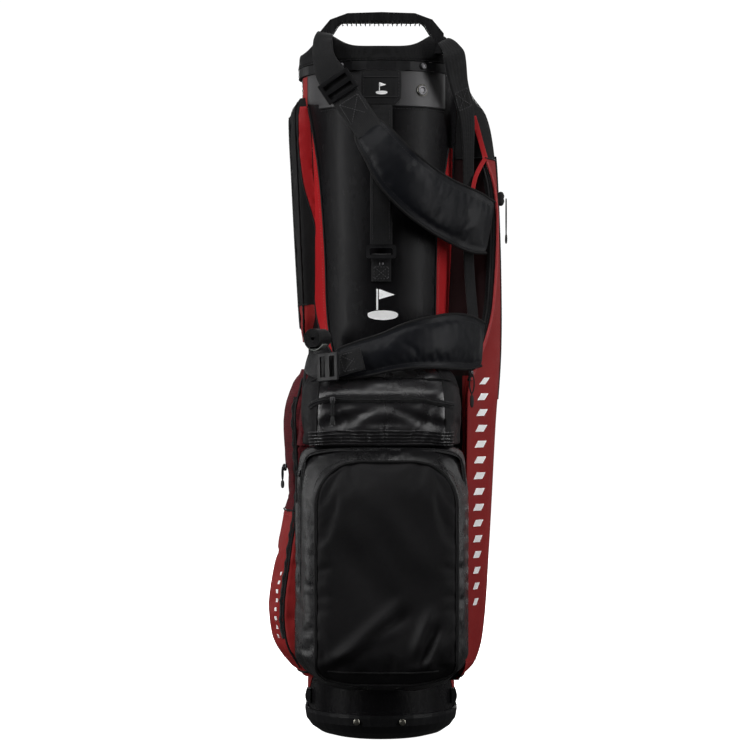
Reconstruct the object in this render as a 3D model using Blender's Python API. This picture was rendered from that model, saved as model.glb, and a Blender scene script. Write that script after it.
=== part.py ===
"""Golf stand bag: barrel, pockets, dual strap, and a leg stand driven by a hinged base flap.

Metres, +Z up, -Y is the strap side. The origin is the centre of the boot's flat underside.
"""
import math

import bmesh
import bpy
from mathutils import Matrix, Vector

# Driving dimensions ------------------------------------------------------------------------------
GAP = 0.0003                     # clearance between pieces that touch
BARREL_TOP = 0.8448
BARREL_WALL = 0.003
BARREL_HALF_WIDTH = (0.0950, 0.1030)     # at the bottom and at the top
BARREL_HALF_DEPTH = (0.1000, 0.1060)
BARREL_WAIST = (0.0055, 0.0020)          # width and depth lost halfway up
CUFF_Z = (0.8452, 0.8565)
CUFF_HALF = (0.1070, 0.1100)
CUFF_WALL = 0.0045
COLLAR_TOP = 0.8762
HANDLE_TOP = 0.9200
HANDLE_Y = -0.0800
HANDLE_DEPTH = 0.0230
BOOT_HALF = (0.0985, 0.1035)
BOOT_WALL = 0.0027
FLAP_HINGE = Vector((0.0, 0.0300, 0.0085))
FLAP_REACH = 0.0880              # hinge line to the flap's rear edge
WEDGE_SLOPE = math.tan(math.radians(16.0))
LEG_PIVOT = Vector((0.0660, 0.1060, 0.7750))
LEG_YAW = math.radians(30.0)     # each leg swings out this far from straight back
LEG_RADIUS = 0.0065
LEG_LENGTH = 0.7450              # pivot to the foot's tip
ROD_DROP = 0.1250                # pivot to the rod's clip
ROD_LENGTH = 0.6000
ROD_OFFSET = 0.0200              # rod beside its leg, along the hinge axis
ROD_RADIUS = 0.0022
EYE_HALF = 0.0026
WEBBING = 0.0018                 # webbing thickness
PULL_STAND = 0.0026              # zip pull's hinge above its slider
POCKET_GAP = 0.0013              # pocket backs stay this far off the barrel


# Materials ---------------------------------------------------------------------------------------
def make_material(name, colour, roughness, metallic=0.0):
    """Principled BSDF with the piece's own colour, roughness and metallic value."""
    material = bpy.data.materials.new(name)
    material.use_nodes = True
    shader = material.node_tree.nodes["Principled BSDF"]
    shader.inputs["Base Color"].default_value = (*colour, 1.0)
    shader.inputs["Roughness"].default_value = roughness
    shader.inputs["Metallic"].default_value = metallic
    return material


BLACK_PLASTIC = ("black_plastic", (0.020, 0.020, 0.022), 0.45, 0.0)
GLOSS_PLASTIC = ("gloss_plastic", (0.030, 0.030, 0.033), 0.22, 0.0)
BARREL_FABRIC = ("barrel_fabric", (0.015, 0.014, 0.016), 0.40, 0.0)
RED_FABRIC = ("red_fabric", (0.300, 0.012, 0.014), 0.62, 0.0)
BLACK_FABRIC = ("black_fabric", (0.012, 0.012, 0.013), 0.75, 0.0)
MESH_FABRIC = ("mesh_fabric", (0.080, 0.008, 0.010), 0.85, 0.0)
PAD_FABRIC = ("pad_fabric", (0.022, 0.023, 0.027), 0.50, 0.0)
WEBBING_FABRIC = ("webbing", (0.016, 0.016, 0.017), 0.70, 0.0)
STEEL = ("steel", (0.560, 0.560, 0.570), 0.28, 1.0)
LEG_ALUMINIUM = ("leg_aluminium", (0.060, 0.060, 0.064), 0.35, 1.0)
RUBBER = ("rubber", (0.018, 0.018, 0.018), 0.85, 0.0)


# Shape tools -------------------------------------------------------------------------------------
def blend(ends, share):
    """Straight mix of two end values."""
    return ends[0] + (ends[1] - ends[0]) * share


def along(profile, t):
    """Smooth value at t through a short list of (t, value) pairs."""
    if t <= profile[0][0]:
        return profile[0][1]
    if t >= profile[-1][0]:
        return profile[-1][1]
    slopes = []
    for i in range(len(profile)):
        low = profile[max(i - 1, 0)]
        high = profile[min(i + 1, len(profile) - 1)]
        slopes.append((high[1] - low[1]) / (high[0] - low[0]))
    for i in range(len(profile) - 1):
        (t0, v0), (t1, v1) = profile[i], profile[i + 1]
        if t <= t1:
            span = t1 - t0
            u = (t - t0) / span
            rise = v1 - v0
            bend = u * (1 - u) * ((1 - u) * (slopes[i] * span - rise) - u * (slopes[i + 1] * span - rise))
            return v0 + rise * u + bend
    return profile[-1][1]


def spread(low, high, count):
    """Evenly spaced values from low to high."""
    return [low + (high - low) * i / (count - 1) for i in range(count)]


def barrel_half(z, offset=0.0):
    """Half width and half depth of the barrel's outside at height z."""
    share = z / BARREL_TOP
    dip = 4 * share * (1 - share)
    half_x = blend(BARREL_HALF_WIDTH, share) - BARREL_WAIST[0] * dip
    half_y = blend(BARREL_HALF_DEPTH, share) - BARREL_WAIST[1] * dip
    return half_x + offset, half_y + offset


def barrel_point(z, degrees, offset=0.0):
    """Point on the barrel's outside; 0 degrees is +X and 90 degrees is +Y."""
    half_x, half_y = barrel_half(z, offset)
    turn = math.radians(degrees)
    return Vector((half_x * math.cos(turn), half_y * math.sin(turn), z))


def barrel_depth(x, z, offset=0.0):
    """Distance from the XZ plane to the barrel's surface at x."""
    half_x, half_y = barrel_half(z, offset)
    return half_y * math.sqrt(max(0.0, 1 - (x / half_x) ** 2))


def oval(half_x, half_y, z, count=36):
    """Level oval loop of points."""
    turns = [2 * math.pi * i / count for i in range(count)]
    return [Vector((half_x * math.cos(a), half_y * math.sin(a), z)) for a in turns]


def corner_curve(before, corner, after, radius, steps):
    """Points that round one corner of an outline."""
    start = corner + (before - corner).normalized() * min(radius, 0.45 * (before - corner).length)
    end = corner + (after - corner).normalized() * min(radius, 0.45 * (after - corner).length)
    shares = spread(0.0, 1.0, steps + 1)
    return [start.lerp(corner, t).lerp(corner.lerp(end, t), t) for t in shares]


def rounded_outline(corners, radius, steps=3):
    """Closed outline with every corner rounded."""
    points = []
    for i, corner in enumerate(corners):
        after = corners[(i + 1) % len(corners)]
        points += corner_curve(corners[i - 1], corner, after, radius, steps)
    return points


def loft(loops, ring=False):
    """Closed body through loops of equal length; a ring joins the last loop to the first."""
    body = bmesh.new()
    rows = [[body.verts.new(point) for point in loop] for loop in loops]
    pairs = list(zip(rows, rows[1:]))
    if ring:
        pairs.append((rows[-1], rows[0]))
    count = len(rows[0])
    for low, high in pairs:
        for i in range(count):
            j = (i + 1) % count
            body.faces.new((low[i], low[j], high[j], high[i]))
    if not ring:
        body.faces.new(list(reversed(rows[0])))
        body.faces.new(rows[-1])
    return body


def prism(outline, direction):
    """Closed body of an outline pushed along a direction."""
    body = bmesh.new()
    base = body.faces.new([body.verts.new(point) for point in outline])
    top = bmesh.ops.extrude_face_region(body, geom=[base])
    moved = [item for item in top["geom"] if isinstance(item, bmesh.types.BMVert)]
    bmesh.ops.translate(body, vec=direction, verts=moved)
    return body


def turned(profile, count=24, ring=False):
    """Body turned about +Z from (radius, height) pairs; it is solid unless it is a ring."""
    loops = [oval(radius, radius, z, count) for radius, z in profile]
    return loft(loops, ring)


def rod_body(radius, length, count=16):
    """Round bar centred on the origin along +Z."""
    return turned([(radius, -length / 2), (radius, length / 2)], count)


def block(size, bevel=0.0):
    """Box centred on the origin with softened edges."""
    body = bmesh.new()
    bmesh.ops.create_cube(body, size=1.0)
    bmesh.ops.scale(body, vec=size, verts=body.verts)
    if bevel:
        bmesh.ops.bevel(body, geom=body.edges[:], offset=bevel, segments=1, affect="EDGES", profile=0.6)
    return body


def axis_turn(direction):
    """Matrix that lays +Z along a direction."""
    return Vector(direction).to_track_quat("Z", "Y").to_matrix().to_4x4()


def placed(body, matrix):
    """The body after a move."""
    bmesh.ops.transform(body, matrix=matrix, verts=body.verts)
    return body


def add(name, body, finish, origin=(0.0, 0.0, 0.0), sharp=38.0):
    """Named object from a bmesh in world place, with its origin set where asked."""
    bmesh.ops.recalc_face_normals(body, faces=body.faces)
    bmesh.ops.translate(body, vec=-Vector(origin), verts=body.verts)
    mesh = bpy.data.meshes.new(name)
    body.to_mesh(mesh)
    body.free()
    material = bpy.data.materials.get(finish[0]) or make_material(*finish)
    mesh.materials.append(material)
    mesh.shade_smooth()
    mesh.set_sharp_from_angle(angle=math.radians(sharp))
    piece = bpy.data.objects.new(name, mesh)
    piece.location = origin
    bpy.context.collection.objects.link(piece)
    return piece


def tool(name, body):
    """Body used only by a Boolean modifier."""
    cutter = add(name, body, BLACK_PLASTIC)
    cutter.hide_render = True
    cutter.display_type = "WIRE"
    return cutter


def combine(piece, other, operation):
    """Exact Boolean of a piece and a tool."""
    modifier = piece.modifiers.new(operation.lower(), "BOOLEAN")
    modifier.operation = operation
    modifier.object = other
    modifier.solver = "EXACT"


def smooth_path(stations, steps=2):
    """Evenly eased stations (point, width, thickness, normal) along a strap."""
    result = []
    last = len(stations) - 1
    for i in range(last):
        around = [stations[max(i - 1, 0)], stations[i], stations[i + 1], stations[min(i + 2, last)]]
        for k in range(steps):
            t = k / steps
            weights = (
                0.5 * (-t + 2 * t * t - t ** 3),
                0.5 * (2 - 5 * t * t + 3 * t ** 3),
                0.5 * (t + 4 * t * t - 3 * t ** 3),
                0.5 * (-t * t + t ** 3),
            )
            point = sum((Vector(s[0]) * w for s, w in zip(around, weights)), Vector())
            width = sum(s[1] * w for s, w in zip(around, weights))
            thick = sum(s[2] * w for s, w in zip(around, weights))
            normal = Vector(stations[i][3]).lerp(Vector(stations[i + 1][3]), t)
            result.append((point, width, thick, normal))
    point, width, thick, normal = stations[last]
    result.append((Vector(point), width, thick, Vector(normal)))
    return result


FLAT_SECTION = [(-1.0, -1.0), (1.0, -1.0), (1.0, 1.0), (-1.0, 1.0)]
PAD_SECTION = [(-1.0, 0.0), (-0.88, -0.75), (0.0, -1.0), (0.88, -0.75), (1.0, 0.0), (0.88, 0.75), (0.0, 1.0),
               (-0.88, 0.75)]


def strap(stations, section, steps=2):
    """Strap or pad swept along stations of (point, width, thickness, outward normal)."""
    path = smooth_path(stations, steps)
    loops = []
    for i, (point, width, thick, normal) in enumerate(path):
        before = path[max(i - 1, 0)][0]
        after = path[min(i + 1, len(path) - 1)][0]
        tangent = (after - before).normalized()
        across = tangent.cross(normal).normalized()
        out = across.cross(tangent).normalized()
        loops.append([point + across * (u * width / 2) + out * (v * thick / 2) for u, v in section])
    return loft(loops)


def wrapped_panel(rows, edges, offset, thick, side=-1, columns=8):
    """Panel that follows the barrel; edges(z) gives its left and right x, side -1 is the front."""
    loops = []
    for z in rows:
        left, right = edges(z)
        spots = spread(left, right, columns)
        outer = [Vector((x, side * barrel_depth(x, z, offset + thick), z)) for x in spots]
        inner = [Vector((x, side * barrel_depth(x, z, offset), z)) for x in reversed(spots)]
        loops.append(outer + inner)
    return loft(loops)


def pocket_loop(z, start, stop, corners, radius, steps=2, inner_steps=8):
    """Pocket outline at height z: from the barrel at start degrees, round the corners, to stop."""
    first = barrel_point(z, start, POCKET_GAP)
    last = barrel_point(z, stop, POCKET_GAP)
    chain = [first] + [Vector((x, y, z)) for x, y in corners] + [last]
    points = [first]
    for i in range(1, len(chain) - 1):
        points += corner_curve(chain[i - 1], chain[i], chain[i + 1], radius, steps)
    points += [barrel_point(z, t, POCKET_GAP) for t in spread(stop, start, inner_steps)[:-1]]
    return points


# Barrel, boot and cuff ---------------------------------------------------------------------------
def wedge_height(y):
    """Height of the sloping cut under the rear of the boot."""
    return 0.0145 + max(0.0, y - 0.040) * WEDGE_SLOPE


def make_barrel():
    """Open tube of backed fabric, its lower edge following the boot's floor."""
    heights = [0.0, 0.06] + spread(0.14, BARREL_TOP, 7)
    outer = []
    inner = []
    for z in heights:
        half_x, half_y = barrel_half(z)
        outer.append(oval(half_x, half_y, z))
        inner.append(oval(half_x - BARREL_WALL, half_y - BARREL_WALL, z))
    for point in outer[0] + inner[0]:
        point.z = max(0.0225, wedge_height(point.y) + 0.0075)
    add("barrel_shell", loft(outer + inner[::-1], ring=True), BARREL_FABRIC)


def make_boot():
    """Moulded cup that carries the barrel, cut away at the rear underside for the flap."""
    profile = [(0.0, 0.672), (0.0035, 0.800), (0.0110, 0.915), (0.0205, 0.985), (0.0300, 1.0)]
    loops = [oval(BOOT_HALF[0] * share, BOOT_HALF[1] * share, z, 44) for z, share in profile]
    rim = oval(BOOT_HALF[0], BOOT_HALF[1], 0.0, 44)
    for point in rim:
        side = min(1.0, max(0.0, (point.y - 0.005) / 0.040))
        point.z = 0.0345 + 0.0180 * side * side * (3 - 2 * side)
    boot = add("base_boot", loft(loops + [rim]), BLACK_PLASTIC)
    inner_x = BOOT_HALF[0] - BOOT_WALL
    inner_y = BOOT_HALF[1] - BOOT_WALL
    cavity_profile = [(0.0060, 0.74), (0.0110, 0.87), (0.0180, 0.965), (0.0225, 1.0), (0.0900, 1.0)]
    cavity = tool("boot_cavity", loft([oval(inner_x * s, inner_y * s, z, 44) for z, s in cavity_profile]))
    floor = [(0.015, -0.02), (0.015, 0.0180), (0.040, 0.0180), (0.140, 0.0180 + 0.1 * WEDGE_SLOPE), (0.140, -0.02)]
    outline = [Vector((-0.15, y, z)) for y, z in floor]
    combine(cavity, tool("boot_floor", prism(outline, (0.30, 0.0, 0.0))), "DIFFERENCE")
    combine(boot, cavity, "DIFFERENCE")
    slope = [(0.036, -0.02), (0.036, 0.0145), (0.040, 0.0145), (0.140, wedge_height(0.140)), (0.140, -0.02)]
    outline = [Vector((-0.15, y, z)) for y, z in slope]
    combine(boot, tool("boot_wedge", prism(outline, (0.30, 0.0, 0.0))), "DIFFERENCE")
    hinge_room = placed(block((0.136, 0.0165, 0.0345)), Matrix.Translation((0.0, 0.02825, -0.00275)))
    combine(boot, tool("boot_hinge_room", hinge_room), "DIFFERENCE")
    bore = placed(rod_body(0.0023, 0.156), Matrix.Translation(FLAP_HINGE) @ axis_turn((1, 0, 0)))
    combine(boot, tool("boot_pin_bore", bore), "DIFFERENCE")
    for side, x in (("left", -0.0310), ("right", 0.0270)):
        depth = BOOT_HALF[1] * math.sqrt(1 - (x / BOOT_HALF[0]) ** 2)
        head = turned([(0.0042, 0.0), (0.0042, 0.0008), (0.0030, 0.0019), (0.0010, 0.0023)], 16)
        place = Matrix.Translation((x, -depth - 0.0012, 0.0262)) @ axis_turn((0, -1, 0))
        add("base_rivet_" + side, placed(head, place), STEEL)


def make_cuff():
    """Moulded ring at the barrel's mouth, with the padded collar above it."""
    low, high = CUFF_Z
    wide, deep = CUFF_HALF
    inner_x = wide - CUFF_WALL
    inner_y = deep - CUFF_WALL
    loops = [oval(wide, deep, low), oval(wide, deep, high), oval(inner_x, inner_y, high), oval(inner_x, inner_y, low)]
    add("top_cuff", loft(loops, ring=True), BLACK_PLASTIC)
    base = high + GAP
    crown = COLLAR_TOP
    loops = []
    for inset, z in ((0.0, base), (-0.0010, base + 0.008), (0.0006, crown - 0.004), (0.0030, crown),
                     (0.0065, crown), (0.0090, crown - 0.004), (0.0095, base)):
        loops.append(oval(wide - inset, deep - inset, z))
    collar = add("cuff_collar", loft(loops, ring=True), BLACK_FABRIC)
    for side in (-1, 1):
        room = block((0.0180, HANDLE_DEPTH + 0.010, 0.030))
        seat = placed(room, Matrix.Translation((side * 0.0705, HANDLE_Y, 0.8668 + 0.015)))
        combine(collar, tool("collar_seat_" + ("left" if side < 0 else "right"), seat), "DIFFERENCE")


def make_handle():
    """Moulded lift handle: an arch with finger ribs under the grip."""
    outer = [(-0.0785, 0.8672), (-0.0790, 0.8930), (-0.0645, 0.9105), (-0.0425, 0.9186), (0.0, HANDLE_TOP),
             (0.0425, 0.9186), (0.0645, 0.9105), (0.0790, 0.8930), (0.0785, 0.8672)]
    ribs = 18
    rib_half = 0.0012
    rib_top = 0.9080
    rib_low = 0.9048
    inner = [(0.0625, 0.8672), (0.0630, 0.8900), (0.0540, 0.9040)]
    for centre in spread(0.0485, -0.0485, ribs):
        inner += [(centre + rib_half, rib_top), (centre + 0.6 * rib_half, rib_low)]
        inner += [(centre - 0.6 * rib_half, rib_low), (centre - rib_half, rib_top)]
    inner += [(-0.0540, 0.9040), (-0.0630, 0.8900), (-0.0625, 0.8672)]
    front = HANDLE_Y - HANDLE_DEPTH / 2
    outline = [Vector((x, front, z)) for x, z in outer + inner]
    handle = add("lift_handle", prism(outline, (0.0, HANDLE_DEPTH, 0.0)), GLOSS_PLASTIC)
    soften = handle.modifiers.new("soft_edges", "BEVEL")
    soften.width = 0.0020
    soften.segments = 1
    soften.limit_method = "ANGLE"
    soften.angle_limit = math.radians(80)
    soften.use_clamp_overlap = True


def divider_outline(bar, reach_x, reach_front, reach_back, front_bar_x):
    """Outline of the divider bars seen from above: one cross bar, two front bars, one rear bar."""
    half = bar / 2
    points = [(-reach_x, -half)]
    for x in (-front_bar_x, front_bar_x):
        points += [(x - half, -half), (x - half, -reach_front), (x + half, -reach_front), (x + half, -half)]
    points += [(reach_x, -half), (reach_x, half), (half, half), (half, reach_back), (-half, reach_back),
               (-half, half), (-reach_x, half)]
    return points


def make_dividers():
    """Five-way divider in the cuff, and the fabric curtains that hang from its bars."""
    low, high = CUFF_Z
    bars = divider_outline(0.0070, 0.1018, 0.0965, 0.1048, 0.0340)
    outline = [Vector((x, y, low + 0.0006)) for x, y in bars]
    add("divider_frame", prism(outline, (0.0, 0.0, high - low - 0.0012)), BLACK_PLASTIC)
    sheets = divider_outline(0.0024, 0.0905, 0.0895, 0.0960, 0.0340)
    outline = [Vector((x, y, 0.6000)) for x, y in sheets]
    add("divider_curtain", prism(outline, (0.0, 0.0, 0.8450 - 0.6000)), BLACK_FABRIC)


def make_stays():
    """Two stiff stays that keep the barrel's length, from the boot to the cuff."""
    for side, sign in (("left", -1), ("right", 1)):
        place = Matrix.Translation((sign * 0.0600, 0.0630, 0.4380))
        add("stay_rod_" + side, placed(rod_body(0.0020, 0.8110, 10), place), BLACK_PLASTIC)


# Front fittings ----------------------------------------------------------------------------------
def make_front_fittings():
    """Patch, screws, stud and the upright grab handle on the front panel."""
    def patch_edges(z):
        half = along([(0.8010, 0.0170), (0.8095, 0.0245), (0.8445, 0.0245)], z)
        return -half, half
    add("rubber_patch", wrapped_panel([0.8010, 0.8050, 0.8095, 0.8270, 0.8445], patch_edges, GAP, 0.0024), RUBBER)
    for side, x in (("left", -0.0500), ("right", 0.0530)):
        depth = CUFF_HALF[1] * math.sqrt(1 - (x / CUFF_HALF[0]) ** 2)
        lean = Vector((x / CUFF_HALF[0] ** 2, -depth / CUFF_HALF[1] ** 2, 0.0)).normalized()
        head = turned([(0.0044, 0.0), (0.0044, 0.0011), (0.0030, 0.0020), (0.0010, 0.0022)], 16)
        place = Matrix.Translation(Vector((x, -depth, 0.8508)) + lean * 0.0004) @ axis_turn(lean)
        add("cuff_screw_" + side, placed(head, place), STEEL)
    stud_x = 0.0510
    depth = barrel_depth(stud_x, 0.8210)
    lean = Vector((stud_x / 0.1028 ** 2, -depth / 0.1058 ** 2, 0.0)).normalized()
    head = turned([(0.0072, 0.0), (0.0072, 0.0012), (0.0055, 0.0024), (0.0042, 0.0024), (0.0030, 0.0012)], 24)
    place = Matrix.Translation(Vector((stud_x, -depth, 0.8210)) + lean * 0.0006) @ axis_turn(lean)
    add("press_stud", placed(head, place), STEEL)
    arc = [(0.7995, 0.1100), (0.7850, 0.1130), (0.7600, 0.1180), (0.7150, 0.1240), (0.6700, 0.1225),
           (0.6430, 0.1160), (0.6262, 0.1120)]
    stations = [((0.0, -depth, z), 0.0260, 0.0060, (0, -1, 0)) for z, depth in arc]
    add("grab_handle_grip", strap(stations, PAD_SECTION), PAD_FABRIC)
    outline = [Vector((x, 0.0, z)) for x, z in ((-0.019, 0.6085), (0.019, 0.6085), (0.019, 0.6255), (-0.019, 0.6255))]
    hole = [Vector((x, 0.0, z)) for x, z in ((-0.0145, 0.6125), (0.0145, 0.6125), (0.0145, 0.6215), (-0.0145, 0.6215))]
    outside = rounded_outline(outline, 0.004)
    inside = rounded_outline(hole, 0.002)
    front, back = -0.1128, -0.1086
    loops = []
    for points, y in ((outside, back), (outside, front), (inside, front), (inside, back)):
        loops.append([Vector((p.x, y, p.z)) for p in points])
    add("grab_handle_loop", loft(loops, ring=True), BLACK_PLASTIC)
    add("grab_handle_tab", wrapped_panel([0.5800, 0.5880, 0.5980, 0.6080], lambda z: (-0.0120, 0.0120), GAP, 0.0024,
                                         columns=4), WEBBING_FABRIC)
    rivet = turned([(0.0030, 0.0), (0.0030, 0.0006), (0.0018, 0.0012)], 12)
    place = Matrix.Translation((0.0, -barrel_depth(0.0, 0.6020, 0.0032), 0.6020)) @ axis_turn((0, -1, 0))
    add("grab_tab_rivet", placed(rivet, place), STEEL)


# Pockets -----------------------------------------------------------------------------------------
def make_right_pocket():
    """Tall apparel pocket on the right side, its front edge opening out above the ball pocket."""
    outer_x = [(0.0740, 0.1000), (0.0950, 0.1200), (0.1350, 0.1310), (0.2500, 0.1388), (0.4000, 0.1468),
               (0.5000, 0.1540), (0.6000, 0.1540), (0.7000, 0.1505), (0.7570, 0.1462), (0.8000, 0.1362),
               (0.8240, 0.1180), (0.8430, 0.1080)]
    edge_x = [(0.0740, 0.0985), (0.0950, 0.1065), (0.4400, 0.1090), (0.4700, 0.1190), (0.5135, 0.1355),
              (0.5580, 0.1444), (0.6540, 0.1490), (0.7052, 0.1444), (0.7420, 0.1330), (0.7900, 0.1200),
              (0.8430, 0.1050)]
    edge_y = [(0.0740, -0.0640), (0.0950, -0.0800), (0.4300, -0.0880), (0.5200, -0.0560), (0.7000, -0.0480),
              (0.8430, -0.0300)]
    panel_y = [(0.0740, -0.0605), (0.4200, -0.0605), (0.5200, -0.0480), (0.8430, -0.0280)]
    back_y = [(0.0740, 0.0450), (0.1400, 0.0700), (0.6500, 0.0720), (0.8430, 0.0300)]
    loops = []
    for z in (0.0740, 0.0840, 0.0950, 0.1350, 0.1900, 0.2500, 0.3300, 0.4000, 0.4400, 0.4800, 0.5200, 0.5700,
              0.6200, 0.7000, 0.7570, 0.7850, 0.8050, 0.8240, 0.8430):
        x_out = along(outer_x, z)
        x_edge = min(along(edge_x, z), x_out - 0.0015)
        front = along(edge_y, z)
        panel = along(panel_y, z)
        back = along(back_y, z)
        start = math.degrees(math.asin(panel / barrel_half(z, POCKET_GAP)[1]))
        stop = math.degrees(math.asin(back / barrel_half(z, POCKET_GAP)[1]))
        first_x = barrel_point(z, start, POCKET_GAP).x
        inside_x = max(first_x + 0.002, min(0.1068, x_edge - 0.001))
        corners = [(inside_x, panel), (x_edge, front), (x_out, front + 0.030), (x_out, back - 0.030),
                   (blend((first_x, x_out), 0.75), back)]
        loops.append(pocket_loop(z, start, stop, corners, 0.014))
    add("right_pocket", loft(loops), RED_FABRIC)


def make_left_lower_pocket():
    """Lower pocket on the left side, swelling out near its foot."""
    outer_x = [(0.0780, 0.1010), (0.0950, 0.1170), (0.1200, 0.1350), (0.1650, 0.1410), (0.2360, 0.1300),
               (0.3140, 0.1170), (0.3600, 0.1195), (0.4170, 0.1210), (0.4455, 0.1120), (0.4820, 0.0985)]
    loops = []
    for z in (0.0780, 0.0860, 0.0950, 0.1200, 0.1650, 0.2000, 0.2360, 0.2800, 0.3140, 0.3600, 0.4170, 0.4455, 0.4700):
        x_out = along(outer_x, z)
        front = along([(0.0780, -0.0560), (0.1200, -0.0605), (0.4170, -0.0605), (0.4700, -0.0450)], z)
        back = along([(0.0780, 0.0450), (0.1400, 0.0700), (0.4000, 0.0700), (0.4700, 0.0450)], z)
        half_y = barrel_half(z, POCKET_GAP)[1]
        start = 180 - math.degrees(math.asin(back / half_y))
        stop = 180 - math.degrees(math.asin(front / half_y))
        near = abs(barrel_point(z, stop).x)
        corners = [(-blend((near, x_out), 0.7), back), (-x_out, back - 0.030), (-x_out, front + 0.022),
                   (-blend((near, x_out), 0.75), front)]
        loops.append(pocket_loop(z, start, stop, corners, 0.014))
    add("left_lower_pocket", loft(loops), RED_FABRIC)


def make_left_upper_pocket():
    """Slim pocket high on the left side."""
    outer_x = [(0.5050, 0.1015), (0.5300, 0.1040), (0.6250, 0.1095), (0.7230, 0.1145), (0.7770, 0.1172),
               (0.8030, 0.1160), (0.8180, 0.1060)]
    loops = []
    for z in (0.5050, 0.5160, 0.5400, 0.6250, 0.7230, 0.7770, 0.8030, 0.8180):
        x_out = along(outer_x, z)
        reach = along([(0.5050, 0.030), (0.5400, 0.048), (0.7770, 0.052), (0.8180, 0.034)], z)
        half_y = barrel_half(z, POCKET_GAP)[1]
        turn = math.degrees(math.asin(reach / half_y))
        near = abs(barrel_point(z, 180 - turn).x)
        corners = [(-blend((near, x_out), 0.8), reach), (-x_out, reach - 0.026), (-x_out, 0.026 - reach),
                   (-blend((near, x_out), 0.8), -reach)]
        loops.append(pocket_loop(z, 180 - turn, 180 + turn, corners, 0.010))
    add("left_upper_pocket", loft(loops), BLACK_FABRIC)


def make_mesh_gusset():
    """Narrow mesh gusset between the left pocket and the accessory pocket."""
    loops = []
    for z in spread(0.3735, 0.4560, 4):
        half_y = barrel_half(z, POCKET_GAP)[1]
        start = 180 + math.degrees(math.asin(0.0625 / half_y))
        stop = 180 + math.degrees(math.asin(0.0860 / half_y))
        lean = along([(0.3735, 0.0), (0.4560, 0.010)], z)
        corners = [(-0.1080 + lean, -0.0625), (-0.1030 + lean, -0.0860)]
        loops.append(pocket_loop(z, start, stop, corners, 0.004, inner_steps=4))
    add("mesh_gusset", loft(loops), MESH_FABRIC)


def make_ball_pocket():
    """Front ball pocket: a gusset carrying an arched front panel."""
    spring, crown = 0.3000, 0.3560
    loops = []
    for z in (0.0740, 0.0800, 0.0950, 0.1200, 0.1700, 0.2300, 0.2850, 0.3100, 0.3300, 0.3440, 0.3520, 0.3560,
              0.3600, 0.3720):
        arch = math.sqrt(max(0.0, 1 - (max(0.0, z - spring) / (crown - spring)) ** 2))
        front = along([(0.0740, 0.1500), (0.0800, 0.1680), (0.0950, 0.1830), (0.1200, 0.1890), (0.3100, 0.1890),
                       (0.3560, 0.1800), (0.3720, 0.1640)], z)
        wide = along([(0.0740, 0.92), (0.0950, 0.98), (0.1200, 1.0), (0.3300, 1.0), (0.3720, 0.96)], z)
        left = -0.0820 * blend((0.45, 1.0), arch) * wide
        right = 0.0930 * blend((0.45, 1.0), arch) * wide
        half_y = barrel_half(z, POCKET_GAP)[1]
        turn = math.degrees(math.asin(0.0660 / half_y))
        corners = [(-0.1020 * wide, -0.0660), (-0.1030 * wide, -0.1150), (left, -front), (right, -front),
                   (0.1050 * wide, -0.1150), (0.1045 * wide, -0.0660)]
        loops.append(pocket_loop(z, 180 + turn, 360 - turn, corners, 0.010))
    add("ball_pocket", loft(loops), BLACK_FABRIC)


def make_accessory_pocket():
    """Weatherproof pocket above the ball pocket, its face leaning back to the barrel at the top."""
    loops = []
    for z in (0.3732, 0.3800, 0.3950, 0.4150, 0.4350, 0.4500, 0.4620, 0.4700, 0.4750):
        front = along([(0.3732, 0.1600), (0.3950, 0.1640), (0.4350, 0.1600), (0.4500, 0.1500), (0.4620, 0.1360),
                       (0.4700, 0.1250), (0.4750, 0.1150)], z)
        reach = along([(0.3732, 0.1010), (0.4350, 0.1000), (0.4620, 0.0930), (0.4750, 0.0820)], z)
        face = along([(0.3732, 0.0830), (0.4350, 0.0790), (0.4620, 0.0750), (0.4750, 0.0660)], z)
        half_y = barrel_half(z, POCKET_GAP)[1]
        turn = math.degrees(math.asin(0.0900 / half_y))
        corners = [(-reach, -0.1040), (-face, -front), (face, -front), (reach, -0.1040)]
        loops.append(pocket_loop(z, 180 + turn, 360 - turn, corners, 0.010))
    add("accessory_pocket", loft(loops), BLACK_FABRIC)


# Zip sliders and pulls ---------------------------------------------------------------------------
def make_zip(name, place, out, pull_length, size=(0.0065, 0.0032, 0.0095)):
    """Slider body on a zip, and the pull that hangs from its bridge and can swing out."""
    out = Vector(out).normalized()
    down = Vector((0, 0, -1))
    frame = Matrix((out.cross(down), out, down)).transposed().to_4x4()
    centre = Vector(place)
    add(name + "_slider", placed(block(size, 0.0008), Matrix.Translation(centre) @ frame), STEEL, centre)
    hinge = centre + out * (size[1] / 2 + PULL_STAND)
    shape = block((0.0046, 0.0026, pull_length), 0.0008)
    shape = placed(shape, Matrix.Translation(hinge + down * (pull_length / 2 - 0.0016)) @ frame)
    add(name + "_pull", shape, BLACK_PLASTIC, hinge)


def make_zips():
    """The five zips' sliders and pulls, each at the stretch of zip where it runs."""
    make_zip("ball_zip", (-0.1018, -0.1276, 0.3400), (-0.96, -0.27, 0.0), 0.040)
    make_zip("accessory_zip", (-0.0600, -0.1640, 0.4310), (0, -1, 0.0), 0.034)
    make_zip("right_zip", (0.1130, -0.0930, 0.4640), (0.25, -0.97, 0.0), 0.046)
    make_zip("left_zip", (-0.1225, -0.0580, 0.3450), (-0.70, -0.71, 0.0), 0.030)
    make_zip("side_zip", (0.1560, 0.0120, 0.6920), (1, 0, 0), 0.062, (0.0120, 0.0090, 0.0190))


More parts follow.
